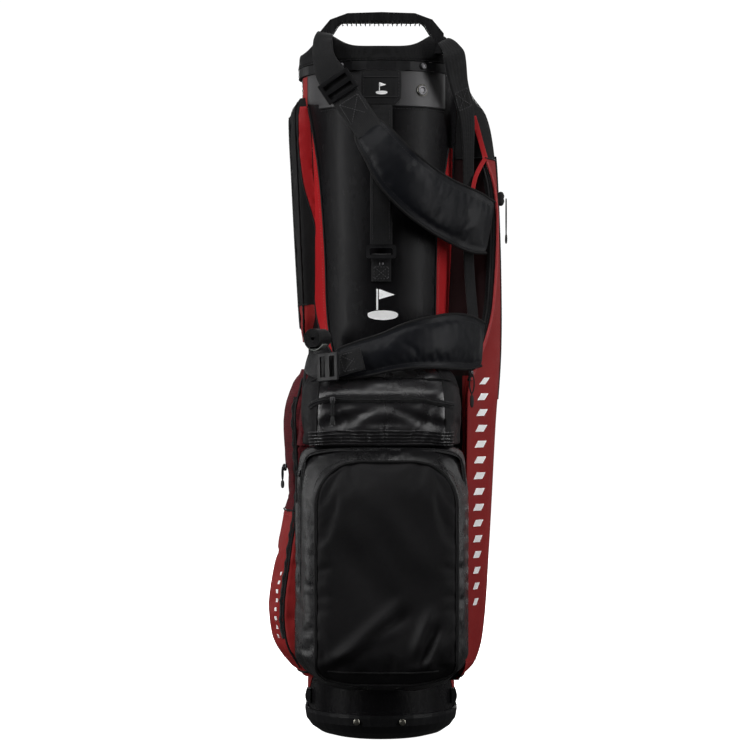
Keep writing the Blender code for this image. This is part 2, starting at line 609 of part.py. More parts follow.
# Straps ------------------------------------------------------------------------------------------
def make_upper_strap():
    """Webbing from the handle's left foot, its tri-glide, and the upper shoulder pad."""
    stations = [((-0.0790, -0.0980, 0.8920), 0.022, WEBBING, (-0.45, -0.9, 0.3)),
                ((-0.0755, -0.1090, 0.8620), 0.032, WEBBING, (-0.4, -0.9, 0.1)),
                ((-0.0640, -0.1160, 0.8390), 0.036, WEBBING, (-0.2, -1, 0)),
                ((-0.0420, -0.1200, 0.8060), 0.036, WEBBING, (-0.1, -1, 0)),
                ((-0.0240, -0.1220, 0.7800), 0.036, WEBBING, (0, -1, 0))]
    add("upper_webbing", strap(stations, FLAT_SECTION), WEBBING_FABRIC)
    stations = [((-0.0230, -0.1275, 0.7785), 0.030, 0.003, (0, -1, 0)),
                ((-0.0190, -0.1300, 0.7730), 0.038, 0.008, (0, -1, 0)),
                ((0.0010, -0.1430, 0.7430), 0.048, 0.012, (0.02, -1, 0)),
                ((0.0210, -0.1460, 0.7160), 0.058, 0.013, (0.05, -1, 0)),
                ((0.0500, -0.1340, 0.6900), 0.066, 0.013, (0.22, -1, 0)),
                ((0.0780, -0.1080, 0.6730), 0.072, 0.013, (0.45, -1, 0)),
                ((0.1040, -0.0840, 0.6620), 0.074, 0.012, (0.45, -1, 0)),
                ((0.1230, -0.0720, 0.6520), 0.068, 0.010, (0.40, -1, 0)),
                ((0.1350, -0.0660, 0.6480), 0.044, 0.006, (0.40, -1, 0))]
    add("upper_shoulder_pad", strap(stations, PAD_SECTION), PAD_FABRIC)


def make_lower_strap():
    """Lower shoulder pad, its tri-glide webbing and the ring that it hooks to."""
    stations = [((-0.0560, -0.1470, 0.4760), 0.030, 0.003, (-0.1, -1, 0.15)),
                ((-0.0500, -0.1480, 0.4765), 0.036, 0.008, (-0.1, -1, 0.15)),
                ((-0.0220, -0.1500, 0.4830), 0.043, 0.011, (0, -1, 0.1)),
                ((0.0080, -0.1490, 0.4910), 0.046, 0.012, (0.05, -1, 0.1)),
                ((0.0370, -0.1440, 0.4990), 0.055, 0.012, (0.15, -1, 0.05)),
                ((0.0650, -0.1330, 0.5030), 0.062, 0.012, (0.3, -1, 0)),
                ((0.0900, -0.1160, 0.5045), 0.067, 0.012, (0.5, -1, 0)),
                ((0.1120, -0.0940, 0.5030), 0.066, 0.010, (0.55, -1, 0)),
                ((0.1270, -0.0770, 0.5010), 0.050, 0.006, (0.55, -1, 0))]
    add("lower_shoulder_pad", strap(stations, PAD_SECTION), PAD_FABRIC)
    stations = [((-0.0910, -0.1060, 0.4780), 0.026, WEBBING, (-0.6, -0.8, 0.1)),
                ((-0.0820, -0.1270, 0.4740), 0.028, WEBBING, (-0.3, -1, 0.1)),
                ((-0.0700, -0.1420, 0.4730), 0.028, WEBBING, (-0.2, -1, 0.12)),
                ((-0.0570, -0.1525, 0.4730), 0.028, WEBBING, (-0.15, -1, 0.15)),
                ((-0.0400, -0.1585, 0.4790), 0.028, WEBBING, (-0.05, -1, 0.15))]
    add("lower_webbing", strap(stations, FLAT_SECTION), WEBBING_FABRIC)


def make_triglide(name, place, tangent, normal, width, length):
    """Three-bar buckle on a strap: a plate with two slots."""
    tangent = Vector(tangent).normalized()
    normal = (Vector(normal) - tangent * Vector(normal).dot(tangent)).normalized()
    across = tangent.cross(normal)
    frame = Matrix((across, normal, tangent)).transposed().to_4x4()
    move = Matrix.Translation(place) @ frame
    plate = add(name, placed(block((width, 0.0036, length), 0.0010), move), BLACK_PLASTIC, place)
    slot = length * 0.24
    for end in (-1, 1):
        hole = placed(block((width - 0.010, 0.02, slot)), move @ Matrix.Translation((0, 0, end * length * 0.22)))
        cutter = tool(name + ("_slot_a" if end < 0 else "_slot_b"), hole)
        combine(plate, cutter, "DIFFERENCE")


def make_strap_hardware():
    """Tri-glides, the lower strap's ring with its anchor, and the rolled strap end."""
    make_triglide("upper_triglide", Vector((-0.0540, -0.1228, 0.8225)), (0.55, 0.0, -0.83), (-0.15, -1, 0), 0.044,
                  0.028)
    make_triglide("lower_triglide", Vector((-0.0660, -0.1560, 0.4725)), (1.0, -0.55, 0.10), (-0.3, -1, 0.12), 0.036,
                  0.030)
    roll = placed(rod_body(0.0130, 0.0280, 20), Matrix.Translation((-0.0790, -0.1180, 0.5080))
                  @ axis_turn((-0.5, -0.85, 0.0)))
    knob = add("strap_roll", roll, WEBBING_FABRIC)
    soften = knob.modifiers.new("soft_edges", "BEVEL")
    soften.width = 0.0022
    soften.segments = 2
    soften.limit_method = "ANGLE"
    stations = [((0.0850, -0.0990, 0.8900), 0.026, WEBBING, (0.3, -0.9, 0.3)),
                ((0.0920, -0.0990, 0.8620), 0.032, WEBBING, (0.4, -0.9, 0)),
                ((0.0980, -0.0860, 0.8300), 0.030, WEBBING, (0.5, -0.85, 0)),
                ((0.1080, -0.0660, 0.7950), 0.024, WEBBING, (0.4, -0.9, 0)),
                ((0.1110, -0.0590, 0.7500), 0.016, WEBBING, (0.3, -0.9, 0)),
                ((0.1110, -0.0570, 0.6800), 0.014, WEBBING, (0.3, -1, 0)),
                ((0.1120, -0.0580, 0.6000), 0.014, WEBBING, (0.3, -1, 0)),
                ((0.1170, -0.0640, 0.5350), 0.014, WEBBING, (0.3, -1, 0))]
    add("right_webbing", strap(stations, FLAT_SECTION), WEBBING_FABRIC)


# Stand -------------------------------------------------------------------------------------------
def leg_frame(sign):
    """Hinge axis and outward direction of one leg; sign is +1 on the right."""
    axis = Vector((math.cos(LEG_YAW), -sign * math.sin(LEG_YAW), 0.0))
    out = Vector((sign * math.sin(LEG_YAW), math.cos(LEG_YAW), 0.0))
    pivot = Vector((sign * LEG_PIVOT.x, LEG_PIVOT.y, LEG_PIVOT.z))
    return pivot, axis, out


def ear_outline(pivot, axis, out, shift):
    """Rounded ear around the hinge axis, running in to the bracket's plate."""
    centre = pivot + axis * shift
    up = Vector((0, 0, 1))
    points = [centre - out * 0.0190 + up * 0.0095, centre + up * 0.0085]
    for i in range(1, 8):
        turn = math.pi / 2 - math.pi * i / 8
        points.append(centre + out * 0.0085 * math.cos(turn) + up * 0.0085 * math.sin(turn))
    points += [centre - up * 0.0085, centre - out * 0.0190 - up * 0.0095]
    return points


def make_leg_bracket():
    """Moulded bracket across the barrel's back, with two ears for each leg."""
    plate = wrapped_panel(spread(0.7450, 0.8080, 4), lambda z: (-0.0820, 0.0820), GAP, 0.0050, 1, 24)
    bracket = add("leg_bracket", plate, BLACK_PLASTIC)
    for sign, side in ((-1, "left"), (1, "right")):
        pivot, axis, out = leg_frame(sign)
        for shift, spot in ((-0.0103, "a"), (0.0073, "b")):
            ear = prism(ear_outline(pivot, axis, out, shift), axis * 0.0030)
            combine(bracket, tool("ear_%s_%s" % (side, spot), ear), "UNION")
        bore = placed(rod_body(0.0023, 0.034), Matrix.Translation(pivot) @ axis_turn(axis))
        combine(bracket, tool("ear_bore_" + side, bore), "DIFFERENCE")
        pin = placed(rod_body(0.0020, 0.0230), Matrix.Translation(pivot) @ axis_turn(axis))
        add("leg_pin_" + side, pin, STEEL, pivot)


def make_leg(sign, side):
    """One leg: hinge head, tube, clip for the rod, and rubber foot."""
    pivot, axis, _ = leg_frame(sign)
    head = placed(rod_body(0.0078, 0.0135, 20), Matrix.Translation(pivot) @ axis_turn(axis))
    head = add("leg_head_" + side, head, BLACK_PLASTIC, pivot)
    neck = placed(rod_body(LEG_RADIUS, 0.0380), Matrix.Translation(pivot - Vector((0, 0, 0.0210))))
    combine(head, tool("head_neck_" + side, neck), "UNION")
    bore = placed(rod_body(0.0023, 0.030), Matrix.Translation(pivot) @ axis_turn(axis))
    combine(head, tool("head_bore_" + side, bore), "DIFFERENCE")
    top = pivot.z - 0.0403
    tip = pivot.z - LEG_LENGTH
    low = tip + 0.0400
    tube = placed(rod_body(LEG_RADIUS, top - low), Matrix.Translation((pivot.x, pivot.y, (top + low) / 2)))
    add("leg_tube_" + side, tube, LEG_ALUMINIUM, pivot)
    socket = LEG_RADIUS + GAP
    profile = [(0.0030, 0.0), (0.0070, 0.0015), (0.0092, 0.0060), (0.0095, 0.0140), (0.0088, 0.0500),
               (socket, 0.0500), (socket, 0.0397), (0.0030, 0.0397)]
    foot = placed(turned(profile, 20), Matrix.Translation((pivot.x, pivot.y, tip)))
    add("leg_foot_" + side, foot, RUBBER, pivot)
    make_rod(pivot, axis, sign, side)


def make_rod(pivot, axis, sign, side):
    """Clip on the leg and the rod that hangs from its pin down to the yoke."""
    joint = pivot - Vector((0, 0, ROD_DROP))
    bore = LEG_RADIUS + GAP
    ring = [(bore, -0.009), (0.0098, -0.009), (0.0098, 0.009), (bore, 0.009)]
    clip = add("rod_clip_" + side, placed(turned(ring, 24, ring=True), Matrix.Translation(joint)), BLACK_PLASTIC,
               pivot)
    inward = -sign * axis
    near = ROD_OFFSET - EYE_HALF - GAP
    far = ROD_OFFSET + EYE_HALF + GAP
    arm = turned([(0.0042, 0.0084), (0.0042, near), (0.0021, near), (0.0021, far), (0.0040, far),
                  (0.0040, far + 0.0020)], 16)
    combine(clip, tool("clip_arm_" + side, placed(arm, Matrix.Translation(joint) @ axis_turn(inward))), "UNION")
    spot = joint + inward * ROD_OFFSET
    eye = turned([(0.0024, -EYE_HALF), (0.0052, -EYE_HALF), (0.0052, EYE_HALF), (0.0024, EYE_HALF)], 20, ring=True)
    rod = add("rod_" + side, placed(eye, Matrix.Translation(spot) @ axis_turn(axis)), STEEL, spot)
    shank_top = spot.z - 0.0036
    shank_low = spot.z - ROD_LENGTH
    shank = placed(turned([(ROD_RADIUS, 0.0040), (ROD_RADIUS, shank_top - shank_low)], 10),
                   Matrix.Translation((spot.x, spot.y, shank_low)))
    combine(rod, tool("rod_shank_" + side, shank), "UNION")
    ball = turned([(0.0012, -0.0034), (0.0030, -0.0020), (0.0034, 0.0), (0.0030, 0.0034), (0.0012, 0.0056)], 12)
    combine(rod, tool("rod_ball_" + side, placed(ball, Matrix.Translation((spot.x, spot.y, shank_low)))), "UNION")


def make_yoke():
    """Plate that the flap lifts: two pairs of flanges guide the rods' ends in upright slots."""
    front, back = 0.1062, 0.1088
    rod_spot = leg_frame(1)[0] - leg_frame(1)[1] * ROD_OFFSET
    edge = rod_spot.x + 0.0060
    outline = [(-0.0300, 0.0076), (0.0300, 0.0076), (0.0300, 0.0300), (edge, 0.0400), (edge, 0.0680),
               (0.0300, 0.0680), (-0.0300, 0.0680), (-edge, 0.0680), (-edge, 0.0400), (-0.0300, 0.0300)]
    plate = prism([Vector((x, front, z)) for x, z in outline], (0.0, back - front, 0.0))
    yoke = add("rod_yoke", plate, BLACK_PLASTIC)
    for sign, side in ((-1, "left"), (1, "right")):
        for shift, spot in ((-0.0053, "a"), (0.0053, "b")):
            centre = Vector((sign * rod_spot.x + shift, (back + 0.1225) / 2 - 0.0004, 0.0540))
            wall = placed(block((0.0014, 0.1225 - back + 0.0008, 0.0280)), Matrix.Translation(centre))
            combine(yoke, tool("yoke_%s_%s" % (side, spot), wall), "UNION")


def make_flap():
    """Hinged base flap with its knuckle and pin."""
    rear = FLAP_HINGE.y + FLAP_REACH
    outline = [(-0.0640, 0.0420), (-0.0760, 0.0420), (-0.0730, 0.0600), (-0.0620, 0.0820), (-0.0430, 0.0990),
               (-0.0280, rear), (0.0280, rear), (0.0430, 0.0990), (0.0620, 0.0820), (0.0730, 0.0600),
               (0.0760, 0.0420), (0.0640, 0.0420), (0.0640, 0.0300), (-0.0640, 0.0300)]
    plate = prism([Vector((x, y, 0.0012)) for x, y in outline], (0.0, 0.0, 0.0056))
    flap = add("base_flap", plate, BLACK_PLASTIC, FLAP_HINGE)
    knuckle = placed(rod_body(0.0050, 0.1280, 20), Matrix.Translation(FLAP_HINGE) @ axis_turn((1, 0, 0)))
    combine(flap, tool("flap_knuckle", knuckle), "UNION")
    bore = placed(rod_body(0.0023, 0.1400), Matrix.Translation(FLAP_HINGE) @ axis_turn((1, 0, 0)))
    combine(flap, tool("flap_bore", bore), "DIFFERENCE")
    pin = placed(rod_body(0.0020, 0.1500), Matrix.Translation(FLAP_HINGE) @ axis_turn((1, 0, 0)))
    add("flap_pin", pin, STEEL, FLAP_HINGE)


def make_hip_pad():
    """Back pad between the legs, crowned in the middle."""
    loops = []
    for z in spread(0.4600, 0.7000, 9):
        share = (z - 0.58) / 0.12
        half = 0.0400 * math.sqrt(1 - 0.25 * share ** 6)
        thick = 0.0150 * (1 - 0.55 * share ** 4)
        spots = spread(-half, half, 9)
        outer = [Vector((x, barrel_depth(x, z, 0.0008 + thick * (1 - 0.6 * abs(x / half) ** 4)), z)) for x in spots]
        inner = [Vector((x, barrel_depth(x, z, 0.0008), z)) for x in reversed(spots)]
        loops.append(outer + inner)
    add("hip_pad", loft(loops), PAD_FABRIC)


def clear_scene():
    """Start from an empty scene."""
    for item in list(bpy.data.objects):
        bpy.data.objects.remove(item, do_unlink=True)


def main():
    """Build every sub-part of the bag."""
    clear_scene()
    make_barrel()
    make_boot()
    make_cuff()
    make_handle()
    make_dividers()
    make_stays()
    make_front_fittings()
    make_right_pocket()
    make_left_lower_pocket()
    make_left_upper_pocket()
    make_mesh_gusset()
    make_ball_pocket()
    make_accessory_pocket()
    make_zips()
    make_upper_strap()
    make_lower_strap()
    make_strap_hardware()
    make_leg_bracket()
    make_leg(-1, "left")
    make_leg(1, "right")
    make_yoke()
    make_flap()
    make_hip_pad()


main()
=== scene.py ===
import math

import bmesh
import bpy
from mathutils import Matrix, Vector, noise


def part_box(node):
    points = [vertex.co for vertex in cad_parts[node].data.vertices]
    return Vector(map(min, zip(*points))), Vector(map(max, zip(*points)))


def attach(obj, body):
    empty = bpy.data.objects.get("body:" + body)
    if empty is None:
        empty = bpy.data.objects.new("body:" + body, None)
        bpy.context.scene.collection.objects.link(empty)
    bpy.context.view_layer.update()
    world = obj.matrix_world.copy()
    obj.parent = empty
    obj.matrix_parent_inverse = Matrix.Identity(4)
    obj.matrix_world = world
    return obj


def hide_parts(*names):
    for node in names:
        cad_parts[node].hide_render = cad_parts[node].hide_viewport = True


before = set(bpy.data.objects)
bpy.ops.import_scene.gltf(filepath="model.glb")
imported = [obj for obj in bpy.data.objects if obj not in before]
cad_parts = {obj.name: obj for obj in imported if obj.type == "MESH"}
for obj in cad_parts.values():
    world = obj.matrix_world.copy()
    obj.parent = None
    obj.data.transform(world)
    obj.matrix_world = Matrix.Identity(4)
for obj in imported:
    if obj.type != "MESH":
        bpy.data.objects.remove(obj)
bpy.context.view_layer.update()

# Driving dimensions, the same as the part's ---------------------------------------------------------
BARREL_TOP = 0.8448
BARREL_HALF_WIDTH = (0.0950, 0.1030)
BARREL_HALF_DEPTH = (0.1000, 0.1060)
BARREL_WAIST = (0.0055, 0.0020)
BARREL_WALL = 0.003
CUFF_HALF = (0.1070, 0.1100)
COLLAR_BASE = 0.8568
POCKET_GAP = 0.0013
STRIPE = 0.0008                  # sewn-on panels stand this far off the barrel
THIN = 0.0017                    # webbing thickness
BOOT_FLOOR = 0.0225              # the barrel stands on the boot's floor
FLAP_START = 0.040               # behind this depth the boot's floor slopes up over the flap
FLAP_SLOPE = math.tan(math.radians(16.0))
HANDLE_FEET = (-47.0, -133.0)    # where the handle meets the collar, in degrees
HANG_TOP, HANG_LOW = 0.8440, 0.6020    # curtain heights
SIDES = ((-1, "left"), (1, "right"))
RED = ("red_thread", "red_fabric")
CLOTH_FRAMES = 20


# Number and path tools -----------------------------------------------------------------------------
def blend(ends, share):
    """Straight mix of two end values."""
    return ends[0] + (ends[1] - ends[0]) * share


def spread(low, high, count):
    """Evenly spaced values from low to high."""
    return [low + (high - low) * i / (count - 1) for i in range(count)]


def along(profile, t):
    """Smooth value at t through a short list of (t, value) pairs."""
    if t <= profile[0][0]:
        return profile[0][1]
    if t >= profile[-1][0]:
        return profile[-1][1]
    slopes = []
    for i in range(len(profile)):
        low = profile[max(i - 1, 0)]
        high = profile[min(i + 1, len(profile) - 1)]
        slopes.append((high[1] - low[1]) / (high[0] - low[0]))
    for i in range(len(profile) - 1):
        (t0, v0), (t1, v1) = profile[i], profile[i + 1]
        if t <= t1:
            span = t1 - t0
            u = (t - t0) / span
            rise = v1 - v0
            bend = u * (1 - u) * ((1 - u) * (slopes[i] * span - rise) - u * (slopes[i + 1] * span - rise))
            return v0 + rise * u + bend
    return profile[-1][1]


def smoothstep(low, high, t):
    """0 below low, 1 above high, eased between."""
    u = min(1.0, max(0.0, (t - low) / (high - low)))
    return u * u * (3 - 2 * u)


def barrel_half(z, offset=0.0):
    """Half width and half depth of the barrel's outside at height z."""
    share = z / BARREL_TOP
    dip = 4 * share * (1 - share)
    half_x = blend(BARREL_HALF_WIDTH, share) - BARREL_WAIST[0] * dip
    half_y = blend(BARREL_HALF_DEPTH, share) - BARREL_WAIST[1] * dip
    return half_x + offset, half_y + offset


def barrel_point(z, degrees, offset=0.0):
    """Point on the barrel's outside; 0 degrees is +X and 90 degrees is +Y."""
    half_x, half_y = barrel_half(z, offset)
    turn = math.radians(degrees)
    return Vector((half_x * math.cos(turn), half_y * math.sin(turn), z))


def front_point(x, z, offset=0.0, side=-1):
    """Point on the barrel's front (or back, with side 1) at x and z."""
    half_x, half_y = barrel_half(z, offset)
    return Vector((x, side * half_y * math.sqrt(max(0.0, 1 - (x / half_x) ** 2)), z))


def barrel_normal(point):
    """Outward direction of the barrel at a point on it."""
    half_x, half_y = barrel_half(point.z)
    return Vector((point.x / half_x ** 2, point.y / half_y ** 2, 0.0)).normalized()


def spline(points, count):
    """Evenly spaced points on a smooth curve through a few points."""
    points = [Vector(p) for p in points]
    dense = []
    last = len(points) - 1
    for i in range(last):
        p0, p1, p2, p3 = points[max(i - 1, 0)], points[i], points[i + 1], points[min(i + 2, last)]
        for t in spread(0.0, 0.95, 20):
            dense.append(0.5 * ((2 * p1) + (p2 - p0) * t + (2 * p0 - 5 * p1 + 4 * p2 - p3) * t * t
                                + (3 * p1 - p0 - 3 * p2 + p3) * t ** 3))
    dense.append(points[-1])
    return resample(dense, count)


def resample(points, count):
    """A polyline's points spaced evenly along its length."""
    lengths = [0.0]
    for a, b in zip(points, points[1:]):
        lengths.append(lengths[-1] + (b - a).length)
    result = []
    k = 0
    for target in spread(0.0, lengths[-1], count):
        while k < len(points) - 2 and lengths[k + 1] < target:
            k += 1
        span = max(1e-9, lengths[k + 1] - lengths[k])
        result.append(points[k].lerp(points[k + 1], min(1.0, max(0.0, (target - lengths[k]) / span))))
    return result


def path_length(points):
    """Length of a polyline."""
    return sum((b - a).length for a, b in zip(points, points[1:]))


def corner_curve(before, corner, after, radius, steps):
    """Points that round one corner of an outline."""
    start = corner + (before - corner).normalized() * min(radius, 0.45 * (before - corner).length)
    end = corner + (after - corner).normalized() * min(radius, 0.45 * (after - corner).length)
    return [start.lerp(corner, t).lerp(corner.lerp(end, t), t) for t in spread(0.0, 1.0, steps + 1)]


# Mesh tools ----------------------------------------------------------------------------------------
def make_piece(name, body, materials, sharp=40.0):
    """Object from a bmesh, shaded smooth with sharp edges kept."""
    bmesh.ops.recalc_face_normals(body, faces=body.faces)
    mesh = bpy.data.meshes.new(name)
    body.to_mesh(mesh)
    body.free()
    for material in materials if isinstance(materials, (list, tuple)) else [materials]:
        mesh.materials.append(material)
    mesh.shade_smooth()
    mesh.set_sharp_from_angle(angle=math.radians(sharp))
    piece = bpy.data.objects.new(name, mesh)
    bpy.context.scene.collection.objects.link(piece)
    return piece


def belong(piece, body, slot, replaced=()):
    """Say which CAD body carries a piece and hide the CAD nodes it stands for; the slot argument is not used.
    """
    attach(piece, body)
    if replaced:
        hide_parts(*replaced)
    return piece


def grid(name, rows, materials, wrap=False, caps=False, slot_of=None, sharp=40.0):
    """Quad sheet through rows of points, with UVs in metres; wrap closes each row to a ring."""
    body = bmesh.new()
    layer = body.loops.layers.uv.new("metres")
    verts = [[body.verts.new(point) for point in row] for row in rows]
    count = len(rows[0])
    middle = rows[len(rows) // 2]
    across = [0.0]
    for j in range(count):
        across.append(across[-1] + (middle[(j + 1) % count] - middle[j]).length)
    up = [0.0]
    column = count // 2
    for low, high in zip(rows, rows[1:]):
        up.append(up[-1] + (high[column] - low[column]).length)
    for i in range(len(rows) - 1):
        for j in range(count if wrap else count - 1):
            k = (j + 1) % count
            face = body.faces.new((verts[i][j], verts[i][k], verts[i + 1][k], verts[i + 1][j]))
            if slot_of:
                face.material_index = slot_of(i, j)
            for loop, uv in zip(face.loops, ((across[j], up[i]), (across[j + 1], up[i]),
                                             (across[j + 1], up[i + 1]), (across[j], up[i + 1]))):
                loop[layer].uv = uv
    if caps:
        body.faces.new(list(reversed(verts[0])))
        body.faces.new(verts[-1])
    return make_piece(name, body, materials, sharp=sharp)


def path_frames(path, normals=None):
    """(point, across, out) at each point of a path; normals give the out side, or it is carried along."""
    frames = []
    out = None
    for i, point in enumerate(path):
        tangent = (path[min(i + 1, len(path) - 1)] - path[max(i - 1, 0)]).normalized()
        if normals:
            out = Vector(normals[i])
        elif out is None:
            out = Vector((0, 0, 1)) if abs(tangent.z) < 0.8 else Vector((0, -1, 0))
        out = (out - tangent * out.dot(tangent)).normalized()
        frames.append((point, tangent.cross(out), out))
    return frames


def tube(name, path, radius, material, sides=8, normals=None, wave=0.0, pitch=0.0):
    """Round cord along a path; wave and pitch give it ribs, as a zip's coil has."""
    if pitch:
        path = resample(path, max(4, 2 * int(path_length(path) / pitch)))
        normals = None
    rows = []
    for i, (point, across, out) in enumerate(path_frames(path, normals)):
        size = radius + (wave if i % 2 else -wave)
        turns = [2 * math.pi * j / sides for j in range(sides)]
        rows.append([point + across * (size * math.cos(a)) + out * (size * math.sin(a)) for a in turns])
    return grid(name, rows, material, wrap=True, caps=True)


def ribbon(name, path, normals, width, thick, material, columns=6, crown=0.0, rolled=0.0003):
    """Flat band along a path, closed all round, with a soft rounded edge."""
    rows = []
    for i, (point, across, out) in enumerate(path_frames(path, normals)):
        wide = width(i / (len(path) - 1)) if callable(width) else width
        shares = spread(-1.0, 1.0, columns)
        front = [point + across * (u * wide / 2) + out * (thick / 2 + crown * (1 - u * u)) for u in shares]
        back = [point + across * (u * wide / 2) + out * (crown * (1 - u * u) - thick / 2)
                for u in reversed(shares)]
        edge = [front[-1] + (across - out) * rolled, back[0] + (across + out) * rolled]
        other = [back[-1] + (out - across) * rolled, front[0] - (across + out) * rolled]
        rows.append(front + edge + back + other)
    return grid(name, rows, material, wrap=True, caps=True, sharp=60.0)


def stitches(name, path, normals, material, pitch=0.0038, length=0.0026, radius=0.0004, lift=0.0002):
    """Row of thread stitches lying on a surface along a path."""
    count = max(2, int(path_length(path) / pitch))
    spots = resample(path, 4 * count + 1)
    turned = resample([Vector(n) for n in normals], 4 * count + 1) if normals else None
    body = bmesh.new()
    for k in range(count):
        i = 4 * k + 2
        tangent = (spots[i + 1] - spots[i - 1]).normalized()
        out = turned[i].normalized() if turned else Vector((0, -1, 0))
        out = (out - tangent * out.dot(tangent)).normalized()
        across = tangent.cross(out)
        middle = spots[i] + out * lift
        rings = []
        for t, size, drop in ((-0.5, 0.3, 1.2), (-0.32, 1.0, 0.2), (0.0, 1.15, 0.0), (0.32, 1.0, 0.2),
                              (0.5, 0.3, 1.2)):
            centre = middle + tangent * (length * t) - out * (radius * drop)
            rings.append([body.verts.new(centre
                                         + (across * math.cos(a) + out * math.sin(a)) * radius * size)
                          for a in (0.0, 1.257, 2.513, 3.770, 5.027)])
        for low, high in zip(rings, rings[1:]):
            for j in range(5):
                body.faces.new((low[j], low[(j + 1) % 5], high[(j + 1) % 5], high[j]))
        body.faces.new(list(reversed(rings[0])))
        body.faces.new(rings[-1])
    return make_piece(name, body, material)


def piped(name, path, radius, normals=None, sides=8, key="piping", slot="black_fabric"):
    """Cord of one of the materials along a path on the bag."""
    belong(tube(name, path, radius, MAT[key], sides, normals), "bag", slot)


def sewn(name, path, normals, key="thread", slot="black_fabric", *sizes):
    """Row of stitches on the bag; sizes are their pitch, length, radius and lift."""
    belong(stitches(name, path, normals, MAT[key], *sizes), "bag", slot)


def subdivide(piece):
    """Subdivision surface, the same in the viewport and the render."""
    modifier = piece.modifiers.new("smooth", "SUBSURF")
    modifier.levels = modifier.render_levels = 1


def inflate(piece, pinned, pressure=4.0, slack=0.02, out_cap=0.008, in_cap=0.003, stiffness=12.0,
            bending=0.3):
    """Cloth simulation of a closed pad or pocket: pressure inside, seams pinned, slack to wrinkle with."""
    mesh = piece.data
    group = piece.vertex_groups.new(name="seams")
    group.add(sorted(pinned), 1.0, "REPLACE")
    cloth = piece.modifiers.new("cloth", "CLOTH")
    settings = cloth.settings
    for key, value in (("quality", 6), ("mass", 0.12), ("tension_stiffness", stiffness),
                       ("compression_stiffness", stiffness), ("shear_stiffness", stiffness / 2),
                       ("bending_stiffness", bending), ("use_pressure", True),
                       ("uniform_pressure_force", pressure), ("shrink_min", -slack),
                       ("vertex_group_mass", "seams")):
        setattr(settings, key, value)
    settings.effector_weights.gravity = 0.0
    cloth.point_cache.frame_start = 1
    cloth.point_cache.frame_end = CLOTH_FRAMES + 4
    scene = bpy.context.scene
    for step in range(1, CLOTH_FRAMES + 1):
        scene.frame_set(step)
    result = piece.evaluated_get(bpy.context.evaluated_depsgraph_get()).to_mesh()
    places = [vertex.co.copy() for vertex in result.vertices]
    piece.evaluated_get(bpy.context.evaluated_depsgraph_get()).to_mesh_clear()
    piece.modifiers.remove(cloth)
    scene.frame_set(1)
    held = set(pinned)
    moves = []
    for vertex, place in zip(mesh.vertices, places):
        move = place - vertex.co
        proud = move.dot(vertex.normal)
        slide = move - vertex.normal * proud
        if slide.length > in_cap:
            slide *= in_cap / slide.length
        proud = max(-in_cap, min(out_cap, proud))
        moves.append(Vector() if vertex.index in held else slide + vertex.normal * proud)
    for vertex, move in zip(mesh.vertices, moves):
        vertex.co += move
    piece.vertex_groups.remove(group)


